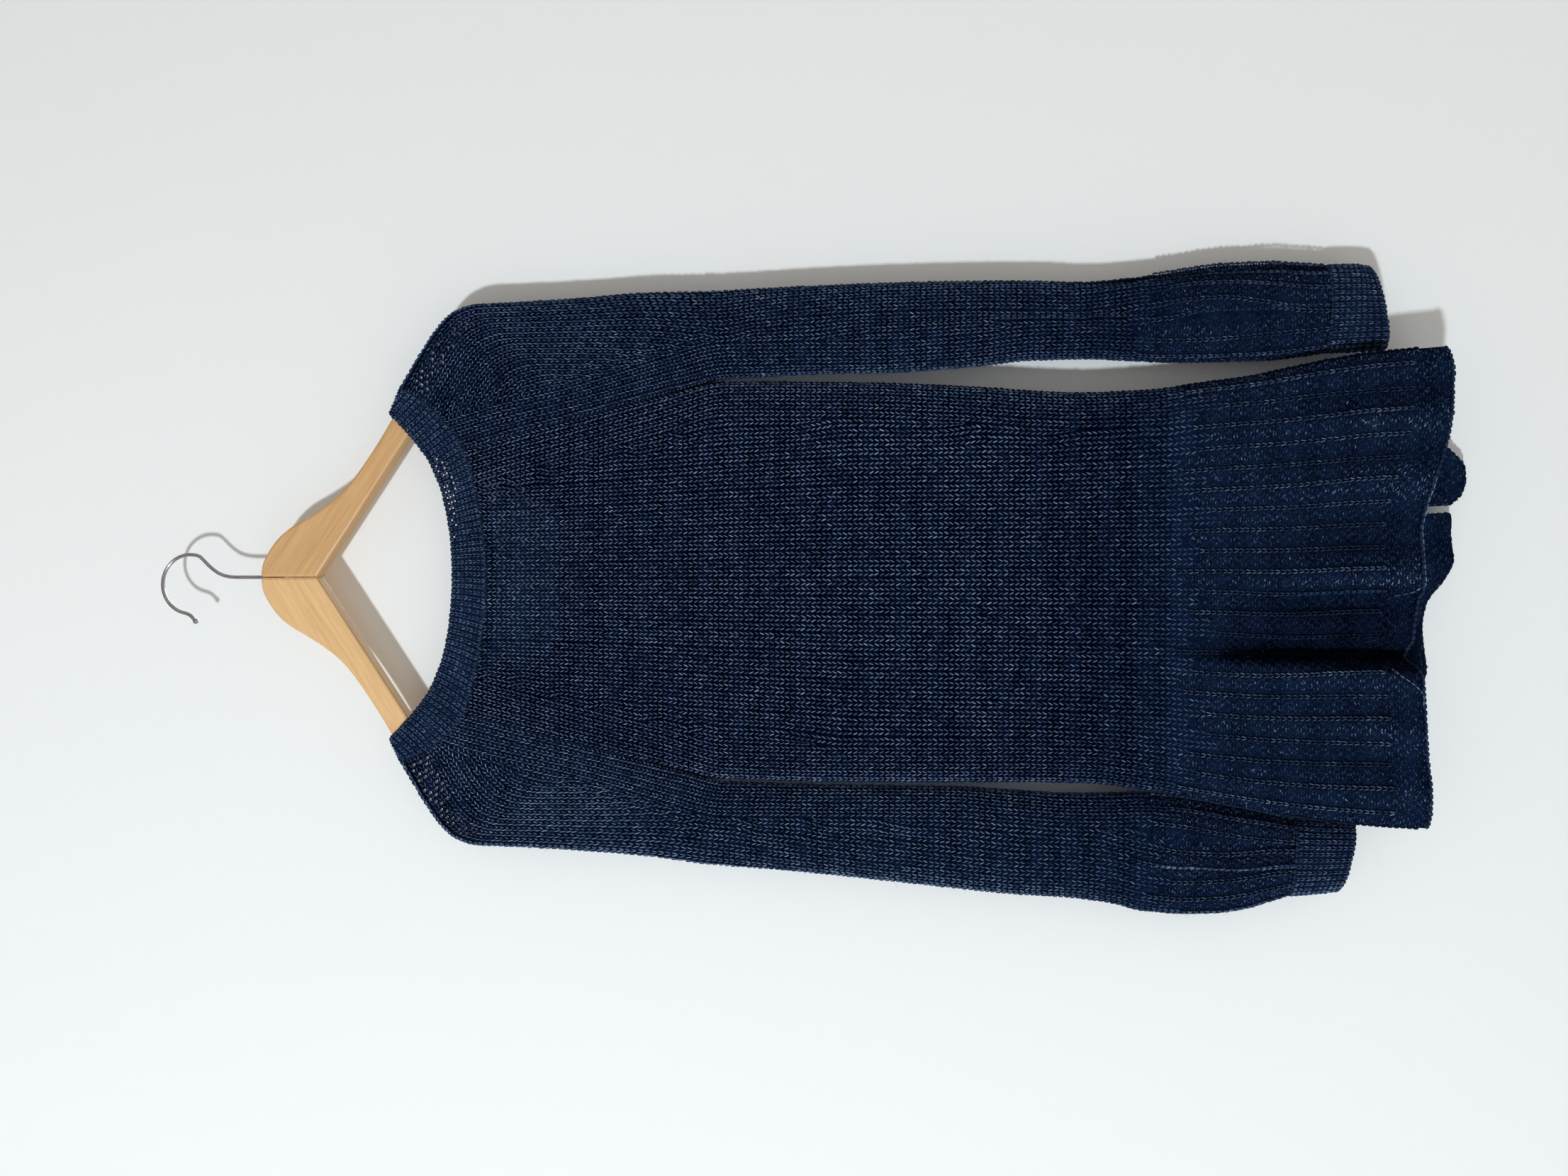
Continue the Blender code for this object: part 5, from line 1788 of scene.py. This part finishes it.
# ---------------------------------------------------------------- stage
def plain_stage():
    """A pale floor that sweeps up into a pale wall far behind."""
    floor_z, wall_y, radius = -1.42, 2.6, 0.7
    line = [(-9.0, floor_z)]
    for i in range(25):
        a = math.pi / 2 * i / 24
        line.append(
            (wall_y - radius + radius * math.sin(a), floor_z + radius * (1 - math.cos(a)))
        )
    line.append((wall_y, 6.0))
    verts = [(x, y, z) for y, z in line for x in (-9.0, 9.0)]
    faces = [(2 * i, 2 * i + 1, 2 * i + 3, 2 * i + 2) for i in range(len(line) - 1)]
    mesh = bpy.data.meshes.new("sweep")
    mesh.from_pydata(verts, [], faces)
    mesh.shade_smooth()
    obj = bpy.data.objects.new("sweep", mesh)
    bpy.context.scene.collection.objects.link(obj)
    material, tree, shader = new_nodes("pale_stage")
    shader.inputs["Base Color"].default_value = (0.80, 0.82, 0.82, 1.0)
    shader.inputs["Roughness"].default_value = 0.95
    mesh.materials.append(material)


def pale_backdrop():
    """A pale upright board close behind, seen from its front only."""
    mesh = bpy.data.meshes.new("backdrop")
    mesh.from_pydata(
        [(-4, 0.031, -1.41), (4, 0.031, -1.41), (4, 0.031, 3.0), (-4, 0.031, 3.0)], [], [(0, 1, 2, 3)]
    )
    obj = bpy.data.objects.new("backdrop", mesh)
    bpy.context.scene.collection.objects.link(obj)
    material, tree, shader = new_nodes("pale_board")
    shader.inputs["Base Color"].default_value = (0.795, 0.79, 0.782, 1.0)
    shader.inputs["Roughness"].default_value = 0.9
    shader.inputs["Specular IOR Level"].default_value = 0.1
    face = tree.nodes.new("ShaderNodeNewGeometry")
    path = tree.nodes.new("ShaderNodeLightPath")
    clear = tree.nodes.new("ShaderNodeBsdfTransparent")
    front = tree.nodes.new("ShaderNodeMath")
    front.operation = "SUBTRACT"
    front.inputs[0].default_value = 1.0
    tree.links.new(face.outputs["Backfacing"], front.inputs[1])
    both = tree.nodes.new("ShaderNodeMath")
    both.operation = "MULTIPLY"
    tree.links.new(front.outputs[0], both.inputs[0])
    tree.links.new(path.outputs["Is Camera Ray"], both.inputs[1])
    mix = tree.nodes.new("ShaderNodeMixShader")
    tree.links.new(both.outputs[0], mix.inputs["Fac"])
    tree.links.new(clear.outputs[0], mix.inputs[1])
    tree.links.new(shader.outputs[0], mix.inputs[2])
    tree.links.new(mix.outputs[0], tree.nodes["Material Output"].inputs["Surface"])
    mesh.materials.append(material)


plain_stage()
pale_backdrop()
scene = bpy.context.scene
world = bpy.data.worlds.new("studio")
scene.world = world
world.use_nodes = True
# Soft warm light, mostly from in front of and behind the garment.
sky = world.node_tree
sky.nodes["Background"].inputs["Color"].default_value = (1.0, 0.925, 0.83, 1.0)
way = sky.nodes.new("ShaderNodeTexCoord")
axes = sky.nodes.new("ShaderNodeSeparateXYZ")
size = sky.nodes.new("ShaderNodeMath")
size.operation = "ABSOLUTE"
power = sky.nodes.new("ShaderNodeMath")
power.operation = "MULTIPLY_ADD"
power.inputs[1].default_value = 0.44
power.inputs[2].default_value = 0.16
sky.links.new(way.outputs["Generated"], axes.inputs[0])
sky.links.new(axes.outputs["Y"], size.inputs[0])
sky.links.new(size.outputs[0], power.inputs[0])
sky.links.new(power.outputs[0], sky.nodes["Background"].inputs["Strength"])


def lamp(name, where, size, power, colour=(1.0, 1.0, 1.0)):
    data = bpy.data.lights.new(name, "AREA")
    data.shape = "RECTANGLE"
    data.size, data.size_y = size
    data.energy = power
    data.color = colour
    obj = bpy.data.objects.new(name, data)
    bpy.context.scene.collection.objects.link(obj)
    obj.location = where
    aim = Vector((0.0, 0.0, -0.55)) - Vector(where)
    obj.rotation_mode = "QUATERNION"
    obj.rotation_quaternion = aim.to_track_quat("-Z", "Y")


lamp("key", (-1.98, -3.25, -0.10), (0.20, 0.20), 108.0, (0.85, 0.94, 1.0))
lamp("behind", (0.9, 2.2, 0.4), (1.6, 1.6), 26.0)

scene.view_settings.view_transform = "Standard"
scene.view_settings.look = "None"

# ---------------------------------------------------------------- camera
view = bpy.data.cameras.new("camera")
view.sensor_fit = "HORIZONTAL"
view.sensor_width = 36.0
view.lens = 1658.0 / 2212.0 * 36.0
view.clip_start, view.clip_end = 0.02, 50.0
camera = bpy.data.objects.new("camera", view)
scene.collection.objects.link(camera)
tilt = math.radians(8.0)
right_way = (0.0, math.sin(tilt), -math.cos(tilt))
up_way = (1.0, 0.0, 0.0)
back_way = (0.0, -math.cos(tilt), -math.sin(tilt))
camera.matrix_world = Matrix(
    [
        [right_way[0], up_way[0], back_way[0], -0.00277],
        [right_way[1], up_way[1], back_way[1], -0.937],
        [right_way[2], up_way[2], back_way[2], -0.67568],
        [0.0, 0.0, 0.0, 1.0],
    ]
)
scene.camera = camera

print("triangles", COUNTS, "total", sum(COUNTS.values()))
bpy.context.view_layer.update()
